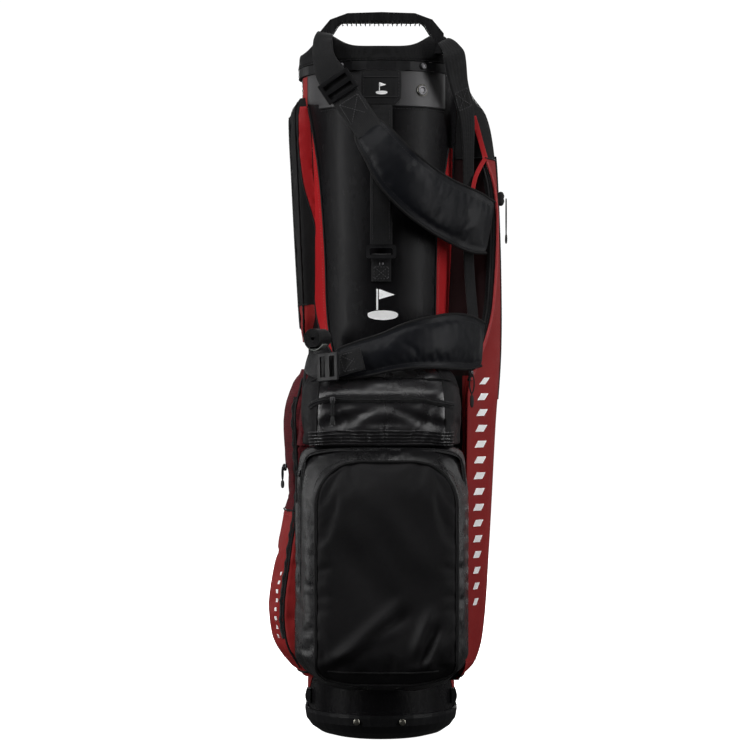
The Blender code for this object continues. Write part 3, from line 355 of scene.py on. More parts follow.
# Materials -----------------------------------------------------------------------------------------
class Shader:
    """Small helper that adds nodes to one Principled material."""

    def __init__(self, name):
        self.material = bpy.data.materials.new(name)
        self.material.use_nodes = True
        self.nodes = self.material.node_tree.nodes
        self.links = self.material.node_tree.links
        self.surface = self.nodes["Principled BSDF"]
        self.coordinate = self.nodes.new("ShaderNodeTexCoord")
        self.bump = None

    def node(self, kind, **values):
        """New node with its inputs and properties set."""
        made = self.nodes.new(kind)
        for key, value in values.items():
            if hasattr(made, key):
                setattr(made, key, value)
            else:
                made.inputs[key.replace("_", " ")].default_value = value
        return made

    def join(self, source, target):
        """Link an output to an input."""
        self.links.new(source, target)

    def noise(self, scale, detail=3.0, rough=0.55, stretch=(1, 1, 1)):
        """Noise value in object space, stretched along the axes."""
        mapping = self.node("ShaderNodeMapping")
        mapping.inputs["Scale"].default_value = stretch
        self.join(self.coordinate.outputs["Object"], mapping.inputs["Vector"])
        made = self.node("ShaderNodeTexNoise", Scale=scale, Detail=detail, Roughness=rough)
        self.join(mapping.outputs["Vector"], made.inputs["Vector"])
        return made.outputs["Fac"]

    def wave(self, direction, period, uv=False):
        """Straight bands of a period in metres."""
        made = self.node("ShaderNodeTexWave", bands_direction=direction, wave_profile="SIN",
                         Scale=math.pi / (10 * period))
        self.join(self.coordinate.outputs["UV" if uv else "Object"], made.inputs["Vector"])
        return made.outputs["Fac"]

    def maths(self, operation, first, second):
        """Two values combined."""
        made = self.node("ShaderNodeMath", operation=operation)
        for socket, value in zip(made.inputs, (first, second)):
            if isinstance(value, (int, float)):
                socket.default_value = value
            else:
                self.join(value, socket)
        return made.outputs[0]

    def ranged(self, value, low, high, start=0.3, stop=0.7):
        """Value from start..stop mapped to low..high."""
        made = self.node("ShaderNodeMapRange", From_Min=start, From_Max=stop, To_Min=low, To_Max=high)
        self.join(value, made.inputs["Value"])
        return made.outputs["Result"]

    def mixed(self, share, first, second):
        """Two colours mixed by a value."""
        made = self.node("ShaderNodeMix", data_type="RGBA")
        colour_inputs = [s for s in made.inputs if s.type == "RGBA"]
        if isinstance(share, (int, float)):
            made.inputs[0].default_value = share
        else:
            self.join(share, made.inputs[0])
        for socket, value in zip(colour_inputs, (first, second)):
            if isinstance(value, tuple):
                socket.default_value = (*value, 1.0)
            else:
                self.join(value, socket)
        return [s for s in made.outputs if s.type == "RGBA"][0]

    def raise_by(self, height, distance, strength=1.0):
        """Bump from a height value, on top of the bumps so far."""
        made = self.node("ShaderNodeBump", Distance=distance, Strength=strength)
        self.join(height, made.inputs["Height"])
        if self.bump:
            self.join(self.bump, made.inputs["Normal"])
        self.bump = made.outputs["Normal"]

    def finish(self, colour, roughness, metallic=0.0, coat=0.0, sheen=0.0, specular=0.5):
        """Feed the Principled shader, with lighter, rougher worn edges."""
        edge = self.ranged(self.node("ShaderNodeNewGeometry").outputs["Pointiness"], 0.0, 1.0, 0.53, 0.62)
        worn = self.maths("MULTIPLY", edge, self.ranged(self.noise(160.0), 0.0, 0.5))
        lighter = self.node("ShaderNodeHueSaturation", Value=2.2, Saturation=0.9)
        self.join(colour, lighter.inputs["Color"])
        self.join(self.mixed(worn, colour, lighter.outputs["Color"]), self.surface.inputs["Base Color"])
        self.join(self.maths("ADD", roughness, self.maths("MULTIPLY", worn, 0.2)),
                  self.surface.inputs["Roughness"])
        for socket, value in (("Metallic", metallic), ("Coat Weight", coat), ("Coat Roughness", 0.25),
                              ("Sheen Weight", sheen), ("Sheen Roughness", 0.45),
                              ("Specular IOR Level", specular)):
            self.surface.inputs[socket].default_value = value
        if self.bump:
            self.join(self.bump, self.surface.inputs["Normal"])
        return self.material


def woven(name, colour, other, period, roughness, folds=0.0, sheen=0.1, coat=0.0, specular=0.4, weave=0.00012,
          fold_scale=26.0):
    """Plain-weave cloth: crossing threads, slow colour drift, dust in the weave, and soft folds."""
    shader = Shader(name)
    threads = shader.maths("MULTIPLY", shader.wave("Z", period), shader.wave("DIAGONAL", period * 0.58))
    drift = shader.ranged(shader.noise(9.0, 4.0), 0.0, 1.0)
    tone = shader.mixed(drift, colour, other)
    darker = tuple(0.62 * c for c in colour)
    tone = shader.mixed(shader.maths("MULTIPLY", threads, 0.35), tone, darker)
    fleck = shader.ranged(shader.noise(900.0, 2.0), 0.0, 0.35, 0.5, 0.8)
    tone = shader.mixed(fleck, tone, tuple(min(1.0, 1.6 * c + 0.004) for c in colour))
    if folds:
        shader.raise_by(shader.noise(fold_scale, 2.5, 0.5, (1.0, 1.0, 0.6)), folds)
    shader.raise_by(threads, weave, 0.8)
    shader.raise_by(shader.noise(420.0, 2.0), 0.00015, 0.6)
    rough = shader.ranged(shader.noise(34.0, 4.0), roughness - 0.06, roughness + 0.08)
    return shader.finish(tone, rough, coat=coat, sheen=sheen, specular=specular)


def coated(name, colour, other, roughness, folds=0.0006, creases=0.0, coat=0.0, specular=0.5, grain=0.00008,
           fold_scale=18.0, stretch=(1.0, 1.0, 0.35)):
    """Coated sheet: fine leather-like grain, broad folds and sharp little creases."""
    shader = Shader(name)
    drift = shader.ranged(shader.noise(7.0, 4.0), 0.0, 1.0)
    tone = shader.mixed(drift, colour, other)
    cells = shader.node("ShaderNodeTexVoronoi", Scale=1500.0, feature="DISTANCE_TO_EDGE")
    shader.join(shader.coordinate.outputs["Object"], cells.inputs["Vector"])
    if folds:
        shader.raise_by(shader.noise(fold_scale, 2.0, 0.5, stretch), folds)
    if creases:
        ridged = shader.node("ShaderNodeTexNoise", noise_type="RIDGED_MULTIFRACTAL", Scale=38.0, Detail=1.5)
        shader.join(shader.coordinate.outputs["Object"], ridged.inputs["Vector"])
        shader.raise_by(ridged.outputs["Fac"], creases)
    shader.raise_by(shader.ranged(cells.outputs["Distance"], 0.0, 1.0, 0.0, 0.15), grain, 0.5)
    shader.raise_by(shader.noise(700.0, 2.0), 0.00006, 0.5)
    smears = shader.noise(22.0, 5.0, 0.6, (1.0, 1.0, 0.4))
    rough = shader.ranged(smears, roughness - 0.07, roughness + 0.09)
    return shader.finish(tone, rough, coat=coat, specular=specular)


def strap_cloth(name, colour, roughness=0.55, period=0.0016, specular=0.4):
    """Ribbed webbing, its ribs lying across the band."""
    shader = Shader(name)
    ribs = shader.wave("Y", period, uv=True)
    cords = shader.wave("X", period * 1.4, uv=True)
    body = shader.maths("ADD", shader.maths("MULTIPLY", ribs, 0.7), shader.maths("MULTIPLY", cords, 0.3))
    tone = shader.mixed(shader.maths("MULTIPLY", body, 0.6), colour, tuple(2.0 * c for c in colour))
    fleck = shader.ranged(shader.noise(600.0), 0.0, 0.4, 0.5, 0.8)
    tone = shader.mixed(fleck, tone, tuple(2.6 * c for c in colour))
    shader.raise_by(body, 0.00035)
    shader.raise_by(shader.noise(500.0), 0.0001, 0.6)
    rough = shader.ranged(shader.noise(60.0), roughness - 0.08, roughness + 0.10)
    return shader.finish(tone, rough, sheen=0.15, specular=specular)


def open_mesh(name, colour, hole_and_shade, cell=0.0022):
    """Knitted spacer mesh: rows of small holes in a raised net, their dark colour partly the backing and
    partly painted shade inside the holes.
    """
    shader = Shader(name)
    cells = shader.node("ShaderNodeTexVoronoi", Scale=1.0 / cell, Randomness=0.12)
    mapping = shader.node("ShaderNodeMapping")
    mapping.inputs["Scale"].default_value = (1.0, 1.0, 0.8)
    shader.join(shader.coordinate.outputs["Object"], mapping.inputs["Vector"])
    shader.join(mapping.outputs["Vector"], cells.inputs["Vector"])
    rim = shader.ranged(cells.outputs["Distance"], 0.0, 1.0, 0.22, 0.42)
    drift = shader.ranged(shader.noise(14.0, 4.0), 0.0, 1.0)
    net = shader.mixed(drift, colour, tuple(1.5 * c for c in colour))
    # The holes take the dark colour, partly painted shade.
    tone = shader.mixed(rim, hole_and_shade, net)
    shader.raise_by(rim, 0.0005)
    shader.raise_by(shader.noise(900.0), 0.0001, 0.6)
    rough = shader.ranged(shader.noise(50.0), 0.68, 0.88)
    return shader.finish(tone, rough, sheen=0.03, specular=0.10)


def moulded(name, colour, roughness, grain=0.00006, coat=0.0, specular=0.5, scale=1100.0):
    """Moulded plastic or rubber: spark-eroded grain, faint handling marks, scuffed edges."""
    shader = Shader(name)
    drift = shader.ranged(shader.noise(24.0, 4.0), 0.0, 1.0)
    tone = shader.mixed(drift, colour, tuple(1.35 * c for c in colour))
    shader.raise_by(shader.noise(scale, 2.0, 0.6), grain)
    shader.raise_by(shader.noise(60.0, 2.0), 0.00010, 0.5)
    scuffs = shader.noise(210.0, 6.0, 0.7, (1.0, 1.0, 0.15))
    rough = shader.ranged(scuffs, roughness - 0.06, roughness + 0.12)
    return shader.finish(tone, rough, coat=coat, specular=specular)


def metal(name, colour, roughness, brushed=(1.0, 1.0, 14.0)):
    """Metal with fine drawing lines, slight tarnish and bright worn edges."""
    shader = Shader(name)
    tarnish = shader.ranged(shader.noise(90.0, 5.0), 0.0, 0.5)
    tone = shader.mixed(tarnish, colour, tuple(0.55 * c for c in colour))
    lines = shader.noise(520.0, 2.0, 0.5, brushed)
    shader.raise_by(lines, 0.00003, 0.6)
    rough = shader.ranged(shader.noise(130.0, 4.0), roughness - 0.05, roughness + 0.14)
    return shader.finish(tone, rough, metallic=1.0)


MAT = {
    "panel": coated("black_coated_panel", (0.0050, 0.0048, 0.0054), (0.0075, 0.0072, 0.0080), 0.25, 0.0005,
                    specular=0.085),
    "top": coated("grey_coated_yoke", (0.0260, 0.0250, 0.0270), (0.0400, 0.0390, 0.0410), 0.38, 0.0010, 0.0,
                  specular=0.45, fold_scale=16.0),
    "gloss": coated("gloss_coated_cloth", (0.0050, 0.0048, 0.0054), (0.0085, 0.0082, 0.0090), 0.26, 0.0028,
                    0.0008, specular=0.52, fold_scale=24.0, stretch=(0.7, 0.7, 1.6)),
    # A lighter copy of the gloss cloth: its raised colour is a painted sheen on the accessory pocket's face
    # and ribs.
    "access": coated("accessory_cloth_painted_sheen", (0.0090, 0.0086, 0.0096), (0.0150, 0.0144, 0.0156), 0.28,
                     0.0030, 0.0008, specular=0.55, fold_scale=24.0, stretch=(0.6, 0.6, 1.8)),
    "satin": coated("satin_pad_cloth", (0.0045, 0.0048, 0.0060), (0.0080, 0.0086, 0.0110), 0.36, 0.0006,
                    0.0003, specular=0.13, fold_scale=34.0, stretch=(1.0, 1.0, 1.0)),
    "matte": woven("matte_black_cloth", (0.0080, 0.0078, 0.0084), (0.0105, 0.0100, 0.0108), 0.0009, 0.50,
                   0.0006, sheen=0.0, specular=0.12),
    "black": woven("black_cloth", (0.0060, 0.0060, 0.0064), (0.0100, 0.0097, 0.0102), 0.0008, 0.58, 0.0006,
                   sheen=0.01, specular=0.12),
    "red": woven("red_cloth", (0.230, 0.0160, 0.0160), (0.300, 0.0210, 0.0205), 0.0008, 0.50, 0.0006,
                 sheen=0.01, specular=0.12),
    "stripe": woven("bright_red_cloth", (0.320, 0.0080, 0.0105), (0.400, 0.0115, 0.0150), 0.0007, 0.44,
                    0.0003, sheen=0.01, specular=0.16),
    # Red pocket cloth darkened almost to black: painted shade for the high recess behind the right pocket's
    # front edge.
    "red_painted_shade": woven("red_cloth_painted_shade", (0.0090, 0.0024, 0.0028), (0.0180, 0.0032, 0.0038), 0.0008, 0.62,
                      0.0008, sheen=0.02, specular=0.12),
    # Mesh holes are coloured far darker than the net, partly backing cloth and partly painted shade inside
    # them.
    "mesh": open_mesh("black_spacer_mesh", (0.0085, 0.0085, 0.0090), (0.0015, 0.0015, 0.0015), 0.0016),
    "red_mesh": open_mesh("burgundy_mesh", (0.0700, 0.0080, 0.0110), (0.0050, 0.0012, 0.0016), 0.0018),
    "webbing": strap_cloth("black_webbing", (0.0055, 0.0055, 0.0060), specular=0.16),
    "tape": strap_cloth("zip_tape", (0.0048, 0.0048, 0.0052), 0.62, 0.0009, 0.12),
    "piping": woven("black_piping_cloth", (0.0050, 0.0050, 0.0054), (0.0090, 0.0088, 0.0092), 0.0007, 0.50,
                    sheen=0.02, specular=0.14),
    "red_piping": woven("red_piping_cloth", (0.300, 0.0120, 0.0140), (0.380, 0.0160, 0.0180), 0.0007, 0.42),
    "coil": moulded("zip_coil_nylon", (0.0080, 0.0080, 0.0085), 0.34, specular=0.3),
    "thread": strap_cloth("black_thread", (0.0120, 0.0120, 0.0130), 0.5, 0.0006, 0.2),
    "pale_thread": strap_cloth("grey_thread", (0.045, 0.045, 0.047), 0.5, 0.0006, 0.2),
    "red_thread": strap_cloth("red_thread", (0.300, 0.0200, 0.0220), 0.5, 0.0006),
    "print": moulded("white_print", (0.800, 0.800, 0.800), 0.50, 0.00003),
    "plastic": moulded("black_moulded_plastic", (0.0050, 0.0050, 0.0055), 0.38, specular=0.18),
    "boot": moulded("boot_plastic", (0.0060, 0.0060, 0.0066), 0.36, 0.00010, specular=0.24),
    "shiny": moulded("gloss_moulded_plastic", (0.0055, 0.0055, 0.0060), 0.24, 0.00002, specular=0.50),
    "hook": moulded("pale_hook_and_loop", (0.150, 0.160, 0.150), 0.80, 0.00040, scale=1600.0),
    "cord": strap_cloth("pull_cord", (0.0080, 0.0080, 0.0086), 0.6, 0.0008, 0.2),
    "rubber": moulded("black_rubber", (0.0150, 0.0150, 0.0152), 0.72, 0.00012, specular=0.35),
    "patch": moulded("patch_rubber", (0.0075, 0.0075, 0.0080), 0.46, 0.00008, specular=0.25),
    "steel": metal("brushed_steel", (0.560, 0.560, 0.570), 0.30, (1.0, 1.0, 0.05)),
    "dark_steel": metal("dark_slider_metal", (0.085, 0.084, 0.088), 0.34),
    "aged_steel": metal("aged_rivet_steel", (0.300, 0.290, 0.250), 0.30),
    "leg": metal("anodised_black_tube", (0.0480, 0.0480, 0.0520), 0.36, (1.0, 1.0, 0.1)),
}


# Stage ---------------------------------------------------------------------------------------------
LENS, SENSOR = 114.6, 36.0       # millimetres
CAMERA_PLACE = (-0.0078, -3.1, 0.4624)
WORLD_AS_LIGHT, WORLD_SEEN = 0.035, 1.05
FLOOR_GLOW = 1.1
FLOOR_REACH = 6.0
# Lights by name, place, height aimed at, size and watts
LIGHTS = (("left", (-2.1, -1.1, 1.0), 0.5, (0.5, 2.0), 38),
          ("right", (2.1, -1.0, 0.9), 0.5, (0.5, 2.0), 32),
          ("front", (-1.0, -2.6, 3.0), 0.45, (1.0, 0.8), 30),
          ("top", (0.0, -0.9, 2.6), 0.7, (1.6, 0.7), 14),
          ("back", (0.0, 2.6, 1.8), 0.5, (1.4, 1.4), 70),
          ("left_rim", (-1.7, 1.3, 0.9), 0.5, (0.7, 2.0), 5),
          ("right_rim", (1.7, 1.3, 0.9), 0.5, (0.7, 2.0), 4))


def make_camera():
    """Long lens, level, in front of the bag."""
    data = bpy.data.cameras.new("camera")
    data.lens = LENS
    data.sensor_width = SENSOR
    camera = bpy.data.objects.new("camera", data)
    camera.location = CAMERA_PLACE
    camera.rotation_euler = (math.pi / 2, 0.0, 0.0)
    bpy.context.scene.collection.objects.link(camera)
    bpy.context.scene.camera = camera


def make_light(name, place, target, size, power):
    """Soft rectangular light."""
    data = bpy.data.lights.new(name, "AREA")
    data.shape = "RECTANGLE"
    data.size, data.size_y = size
    data.energy = power
    light = bpy.data.objects.new(name, data)
    light.location = place
    light.rotation_euler = (Vector(target) - Vector(place)).to_track_quat("-Z", "Y").to_euler()
    bpy.context.scene.collection.objects.link(light)


def make_world():
    """White studio: full white behind the bag, softer as a light."""
    world = bpy.data.worlds.new("studio")
    world.use_nodes = True
    nodes, links = world.node_tree.nodes, world.node_tree.links
    path = nodes.new("ShaderNodeLightPath")
    strength = nodes.new("ShaderNodeMapRange")
    strength.inputs["To Min"].default_value = WORLD_AS_LIGHT
    strength.inputs["To Max"].default_value = WORLD_SEEN
    links.new(path.outputs["Is Camera Ray"], strength.inputs["Value"])
    links.new(strength.outputs["Result"], nodes["Background"].inputs["Strength"])
    nodes["Background"].inputs["Color"].default_value = (1, 1, 1, 1)
    bpy.context.scene.world = world


def make_floor():
    """Pale floor with a faint mottle that ends level with the white behind it."""
    shader = Shader("studio_floor")
    mottle = shader.ranged(shader.noise(1.3, 3.0), 0.0, 1.0)
    tone = shader.mixed(mottle, (0.930, 0.930, 0.930), (0.960, 0.960, 0.958))
    shader.raise_by(shader.noise(60.0), 0.0002)
    shader.finish(tone, shader.ranged(shader.noise(3.0), 0.82, 0.92), specular=0.1)
    shader.join(tone, shader.surface.inputs["Emission Color"])
    shader.surface.inputs["Emission Strength"].default_value = FLOOR_GLOW
    mesh = bpy.data.meshes.new("floor")
    corners = [(x * FLOOR_REACH, y * FLOOR_REACH, 0) for x, y in ((-1, -1), (1, -1), (1, 1), (-1, 1))]
    mesh.from_pydata(corners, [], [(0, 1, 2, 3)])
    mesh.materials.append(shader.material)
    floor = bpy.data.objects.new("floor", mesh)
    bpy.context.scene.collection.objects.link(floor)
    floor.visible_diffuse = False
    floor.visible_glossy = False


def make_stage():
    """Camera, lights, world and floor."""
    make_camera()
    make_world()
    make_floor()
    for name, place, height, size, power in LIGHTS:
        make_light(name, place, (0, 0, height), size, power)
    bpy.context.scene.view_settings.view_transform = "Standard"


# Barrel, collar and fittings -----------------------------------------------------------------------
def make_barrel():
    """The barrel's open tube of coated cloth, with a fabric lining inside."""
    heights = [0.0, 0.02] + spread(0.045, BARREL_TOP, 90)
    outer, inner = [], []
    for z in heights:
        rows = []
        for offset in (0.0, -BARREL_WALL):
            ring = []
            for i in range(120):
                point = barrel_point(z, 3.0 * i, offset)
                wedge = 0.0145 + max(0.0, point.y - FLAP_START) * FLAP_SLOPE + 0.0075
                low = max(BOOT_FLOOR, wedge)
                point.z = max(low + 0.3 * z, z) if z < 0.06 else z
                slack = noise.noise(point * 9.0) * 0.0006 * smoothstep(0.10, 0.2, z)
                ring.append(point - barrel_normal(point) * abs(slack))
            rows.append(ring)
        outer.append(rows[0])
        inner.append(rows[1])
    loops = outer + inner[::-1] + [outer[0]]
    seam = len(outer)
    piece = grid("barrel_tube", loops, [MAT["panel"], MAT["black"]], wrap=True,
                 slot_of=lambda i, j: 0 if i < seam - 1 else 1)
    weld(piece)
    belong(piece, "bag", "barrel_fabric", ["barrel_shell"])


def weld(piece):
    """Join vertices that lie on each other."""
    body = bmesh.new()
    body.from_mesh(piece.data)
    bmesh.ops.remove_doubles(body, verts=body.verts, dist=0.00002)
    bmesh.ops.recalc_face_normals(body, faces=body.faces)
    body.to_mesh(piece.data)
    body.free()


def sewn_panel(name, rows, edges, material, slot, columns=12):
    """Thin panel sewn on the barrel; edges(z) gives its left and right x."""
    loops = []
    for z in rows:
        left, right = edges(z)
        spots = spread(left, right, columns)
        outer = [front_point(x, z, STRIPE) for x in spots]
        inner = [front_point(x, z, -0.0004) for x in reversed(spots)]
        loops.append(outer + inner)
    belong(grid(name, loops, material, wrap=True, caps=True), "bag", slot)


def edge_path(heights, x_of, offset):
    """Path up the barrel's front at x_of(z), and its outward normals."""
    points = [front_point(x_of(z), z, offset) for z in heights]
    return points, [barrel_normal(p) for p in points]


STRIPE_LEFT = [(0.4900, -0.0620), (0.5150, -0.0760), (0.5500, -0.0840), (0.6200, -0.0885), (0.7200, -0.0925),
               (0.8050, -0.0965)]
STRIPE_RIGHT = [(0.4900, -0.0600), (0.5150, -0.0655), (0.5500, -0.0690), (0.6200, -0.0714), (0.7060, -0.0777),
                (0.7600, -0.0850), (0.8050, -0.0930)]
STRIP_TOP = 0.7520
STRIP_LEFT = [(0.4800, 0.0660), (0.5400, 0.0685), (0.6330, 0.0701), (0.6800, 0.0730), (0.7150, 0.0800),
              (STRIP_TOP, 0.0860)]
STRIP_RIGHT = [(0.4800, 0.0870), (0.5400, 0.0885), (0.6330, 0.0905), (STRIP_TOP, 0.0915)]


def make_front_panels():
    """Bright stripe on the left, red strip on the right, the grey yoke at the top, and their seams."""
    stripe = (lambda z: along(STRIPE_LEFT, z), lambda z: along(STRIPE_RIGHT, z))
    strip = (lambda z: along(STRIP_LEFT, z), lambda z: along(STRIP_RIGHT, z))
    sewn_panel("stripe_left", spread(0.4900, 0.8050, 70), lambda z: (stripe[0](z), stripe[1](z)),
               MAT["stripe"], "red_fabric")
    sewn_panel("stripe_top_left", spread(0.8065, 0.8440, 10), lambda z: (-0.1005, -0.0945), MAT["red"],
               "red_fabric")
    sewn_panel("strip_right", spread(0.4800, STRIP_TOP, 60), lambda z: (strip[0](z), strip[1](z)),
               MAT["stripe"], "red_fabric")
    yoke_left, yoke_right = -0.0790, 0.0815
    sewn_panel("grey_yoke", spread(0.8000, 0.8444, 16),
               lambda z: (blend((yoke_left, yoke_left - 0.0150), smoothstep(0.806, 0.809, z)), yoke_right),
               MAT["top"], "barrel_fabric", columns=40)
    for name, x_of, low, high in (("stripe_outer", stripe[0], 0.4920, 0.8050),
                                  ("stripe_inner", stripe[1], 0.4920, 0.8050),
                                  ("strip_inner", strip[0], 0.4820, STRIP_TOP),
                                  ("strip_outer", strip[1], 0.4820, STRIP_TOP)):
        path, normals = edge_path(spread(low, high, 90), x_of, 0.0006)
        piped(name + "_piping", path, 0.0013, normals)
    inset = 0.0035
    for name, x_of, sign, high in (("stripe_inner", stripe[1], -1, 0.7900),
                                   ("strip_inner", strip[0], 1, 0.7400)):
        path, normals = edge_path(spread(0.4980, high, 90), lambda z: x_of(z) + sign * inset, STRIPE)
        sewn(name + "_stitches", path, normals, *RED)
    seam = [front_point(x, 0.8002, 0.0008) for x in spread(-0.0785, 0.0810, 60)]
    normals = [barrel_normal(p) for p in seam]
    piped("yoke_seam", seam, 0.0010, normals, sides=6)
    lower = [front_point(x, 0.7972, 0.0002) for x in spread(-0.0770, 0.0800, 60)]
    sewn("yoke_seam_stitches", lower, normals)
    for sign, side in SIDES:
        hem = [front_point(sign * x, 0.0705, 0.0006) for x in spread(0.0100, 0.0860, 40)]
        piped("hem_seam_" + side, hem, 0.0009, [barrel_normal(p) for p in hem], sides=6)


def make_red_corners():
    """Red side panels that show below the side pockets."""
    for sign, side in SIDES:
        rows = []
        centre = 0.0 if sign > 0 else 180.0
        for z in spread(0.0400, 0.1000, 14):
            reach = blend((9.0, 25.0), smoothstep(0.042, 0.090, z))
            turns = spread(centre - reach, centre + reach, 30)
            outer = [barrel_point(z, t, 0.0010) for t in turns]
            inner = [barrel_point(z, t, 0.0) for t in reversed(turns)]
            rows.append(outer + inner)
        piece = grid("side_panel_" + side, rows, MAT["red"], wrap=True, caps=True)
        belong(piece, "bag", "red_fabric")
        loops = []
        for z in spread(0.0405, 0.0600, 6):
            near = math.radians(-14.0)
            x = sign * (barrel_half(z)[0] * math.cos(near))
            y = barrel_half(z)[1] * math.sin(near)
            proud = 0.0062 * math.sin(math.pi * (z - 0.036) / 0.030)
            loops.append([Vector((x - sign * 0.001, y - 0.011, z)),
                          Vector((x + sign * proud, y - 0.011, z)),
                          Vector((x + sign * proud, y + 0.011, z)),
                          Vector((x - sign * 0.001, y + 0.011, z))])
        ear = grid("side_loop_" + side, loops, MAT["webbing"], wrap=True, caps=True, sharp=60.0)
        belong(ear, "bag", "webbing")


def turn_from(foot, turn):
    """Signed angle in degrees from a foot of the handle."""
    return (turn - foot + 180.0) % 360.0 - 180.0


def collar_height(turn):
    """Top of the collar at an angle in degrees: it climbs round the handle's feet."""
    height = 0.8757
    for foot in HANDLE_FEET:
        height += 0.0180 * math.exp(-(turn_from(foot, turn) / 15.0) ** 2)
    return height + 0.0035 * smoothstep(20.0, 70.0, abs(turn)) * (1.0 if 0 < turn < 180 else 0.0)


def make_collar():
    """Padded mesh collar: crowned section, pulled down by a stitched channel, wrapped round the handle."""
    rows = []
    section = [(0.0, 0.0), (-0.0004, 0.18), (0.0010, 0.42), (0.0008, 0.70), (0.0014, 0.88), (0.0032, 0.98),
               (0.0055, 1.0), (0.0078, 0.96), (0.0092, 0.80), (0.0096, 0.45), (0.0095, 0.0)]
    for i in range(180):
        turn = 2.0 * i if i <= 90 else 2.0 * i - 360.0
        height = collar_height(turn) - COLLAR_BASE
        angle = math.radians(turn)
        swell = 0.0
        for foot in HANDLE_FEET:
            swell += 0.0075 * math.exp(-(turn_from(foot, turn) / 9.0) ** 4)
        ring = []
        for inset, share in section:
            half_x = CUFF_HALF[0] - inset
            half_y = CUFF_HALF[1] - inset
            point = Vector((half_x * math.cos(angle), half_y * math.sin(angle), COLLAR_BASE + height * share))
            out = Vector((math.cos(angle), math.sin(angle), 0.0))
            puff = noise.noise(point * 45.0) * 0.0006
            if inset < 0.0055:
                point += out * (swell * smoothstep(0.0, 0.35, share) + puff)
            elif share > 0.3:
                point -= out * (0.4 * swell)
            ring.append(point)
        rows.append(ring)
    rows.append(rows[0])
    piece = grid("mesh_collar", rows, MAT["mesh"], wrap=True)
    weld(piece)
    subdivide(piece)
    belong(piece, "bag", "black_fabric", ["cuff_collar"])
    path, normals = [], []
    for turn in spread(-180.0, 180.0, 181):
        reach = 0.003 * max(math.exp(-(turn_from(foot, turn) / 13.0) ** 4) for foot in HANDLE_FEET)
        out = Vector((math.cos(math.radians(turn)), math.sin(math.radians(turn)), 0.0))
        path.append(Vector(((CUFF_HALF[0] + reach) * out.x, (CUFF_HALF[1] + reach) * out.y,
                            COLLAR_BASE + 0.0012)))
        normals.append(out)
    sewn("collar_low_stitches", path, normals, "thread", "black_fabric", 0.0042, 0.0028)


def make_curtains():
    """Divider curtains hanging from the cuff's bars, each a thin wavy sheet."""
    across = 24

    def sheet(name, start, end, drop):
        rows = []
        direction = (end - start).normalized()
        side = Vector((-direction.y, direction.x, 0.0))
        for z in spread(HANG_LOW, HANG_TOP, 40):
            share = (HANG_TOP - z) / drop
            spots = [start.lerp(end, t) for t in spread(0.0, 1.0, across)]
            line = []
            for k, spot in enumerate(spots):
                free = 1 - abs(2 * k / (across - 1) - 1) ** 4
                sway = 0.0010 * math.sin(9.0 * share + 0.5 * k) * share * free
                line.append(Vector((spot.x, spot.y, z)) + side * sway)
            rows.append(line)
        piece = grid(name, rows, MAT["black"])
        solid = piece.modifiers.new("cloth", "SOLIDIFY")
        solid.thickness = 0.0009
        solid.offset = 0.0
        return piece
    reach, front, back, bar = 0.0895, -0.0880, 0.0945, 0.0340
    spans = (("curtain_across", (-reach, 0.0), (reach, 0.0)),
             ("curtain_front_left", (-bar, front), (-bar, -0.0020)),
             ("curtain_front_right", (bar, front), (bar, -0.0020)),
             ("curtain_rear", (0.0, 0.0020), (0.0, back)))
    drop = 0.2420
    for name, start, end in spans:
        start, end = Vector((*start, 0.0)), Vector((*end, 0.0))
        piece = sheet(name, start, end, drop)
        belong(piece, "bag", "black_fabric", ["divider_curtain"])


# Pockets -------------------------------------------------------------------------------------------
ARC = 4                          # columns that round each corner of a pocket
POCKET_BACK = 0.0003             # a pocket's back stands this far off the barrel


def pocket_ring(z, start, stop, corners, radii, runs, back):
    """One level outline of a pocket: out from the barrel, round its corners, and back along the barrel."""
    first = barrel_point(z, start, POCKET_BACK)
    last = barrel_point(z, stop, POCKET_BACK)
    chain = [first] + [Vector((x, y, z)) for x, y in corners] + [last]
    arcs = [corner_curve(before, corner, after, radius, ARC)
            for before, corner, after, radius in zip(chain, chain[1:], chain[2:], radii)]
    points = []
    here = first
    for run, arc in zip(runs, arcs):
        points += [here.lerp(arc[0], k / run) for k in range(run)]
        points += arc[:-1]
        here = arc[-1]
    points += [here.lerp(last, k / runs[-1]) for k in range(runs[-1])]
    points += [barrel_point(z, t, POCKET_BACK) for t in spread(stop, start, back + 1)[:-1]]
    return points


def corner_column(runs, corner):
    """Column of a pocket grid at the middle of a corner."""
    return sum(runs[:corner + 1]) + corner * ARC + ARC // 2


def nearest(heights, z):
    """Row of a pocket grid that lies nearest to a height."""
    return min(range(len(heights)), key=lambda i: abs(heights[i] - z))


def raised(run, lift):
    """Points and normals of a run, lifted off the surface."""
    points, normals = run
    return [p + n * lift for p, n in zip(points, normals)], normals


def column_path(piece, rows, count, column, first=0, last=None):
    """Points and normals up one column of a pocket grid."""
    chosen = range(first, len(rows) if last is None else last)
    vertices = [piece.data.vertices[i * count + column] for i in chosen]
    return [v.co.copy() for v in vertices], [v.normal.copy() for v in vertices]


def row_path(piece, count, row, first, last):
    """Points and normals along part of one row of a pocket grid."""
    vertices = [piece.data.vertices[row * count + j] for j in range(first, last)]
    return [v.co.copy() for v in vertices], [v.normal.copy() for v in vertices]


def sewn_pocket(name, heights, ring, back, materials, slot_of, seams, slot, replaced, **cloth):
    """Pocket as a grid of level rings, its seams held while the cloth between them swells."""
    rows = [ring(z) for z in heights]
    piece = grid(name, rows, materials, wrap=True, caps=True, slot_of=slot_of)
    count = len(rows[0])
    pinned = set()
    for i in range(len(rows)):
        pinned.update(i * count + j for j in range(count - back - 1, count))
        pinned.add(i * count)
        pinned.update(i * count + column for column in seams)
    for i in (0, 1, len(rows) - 2, len(rows) - 1):
        pinned.update(range(i * count, (i + 1) * count))
    inflate(piece, pinned, **cloth)
    belong(piece, "bag", slot, replaced)
    return piece, rows, count


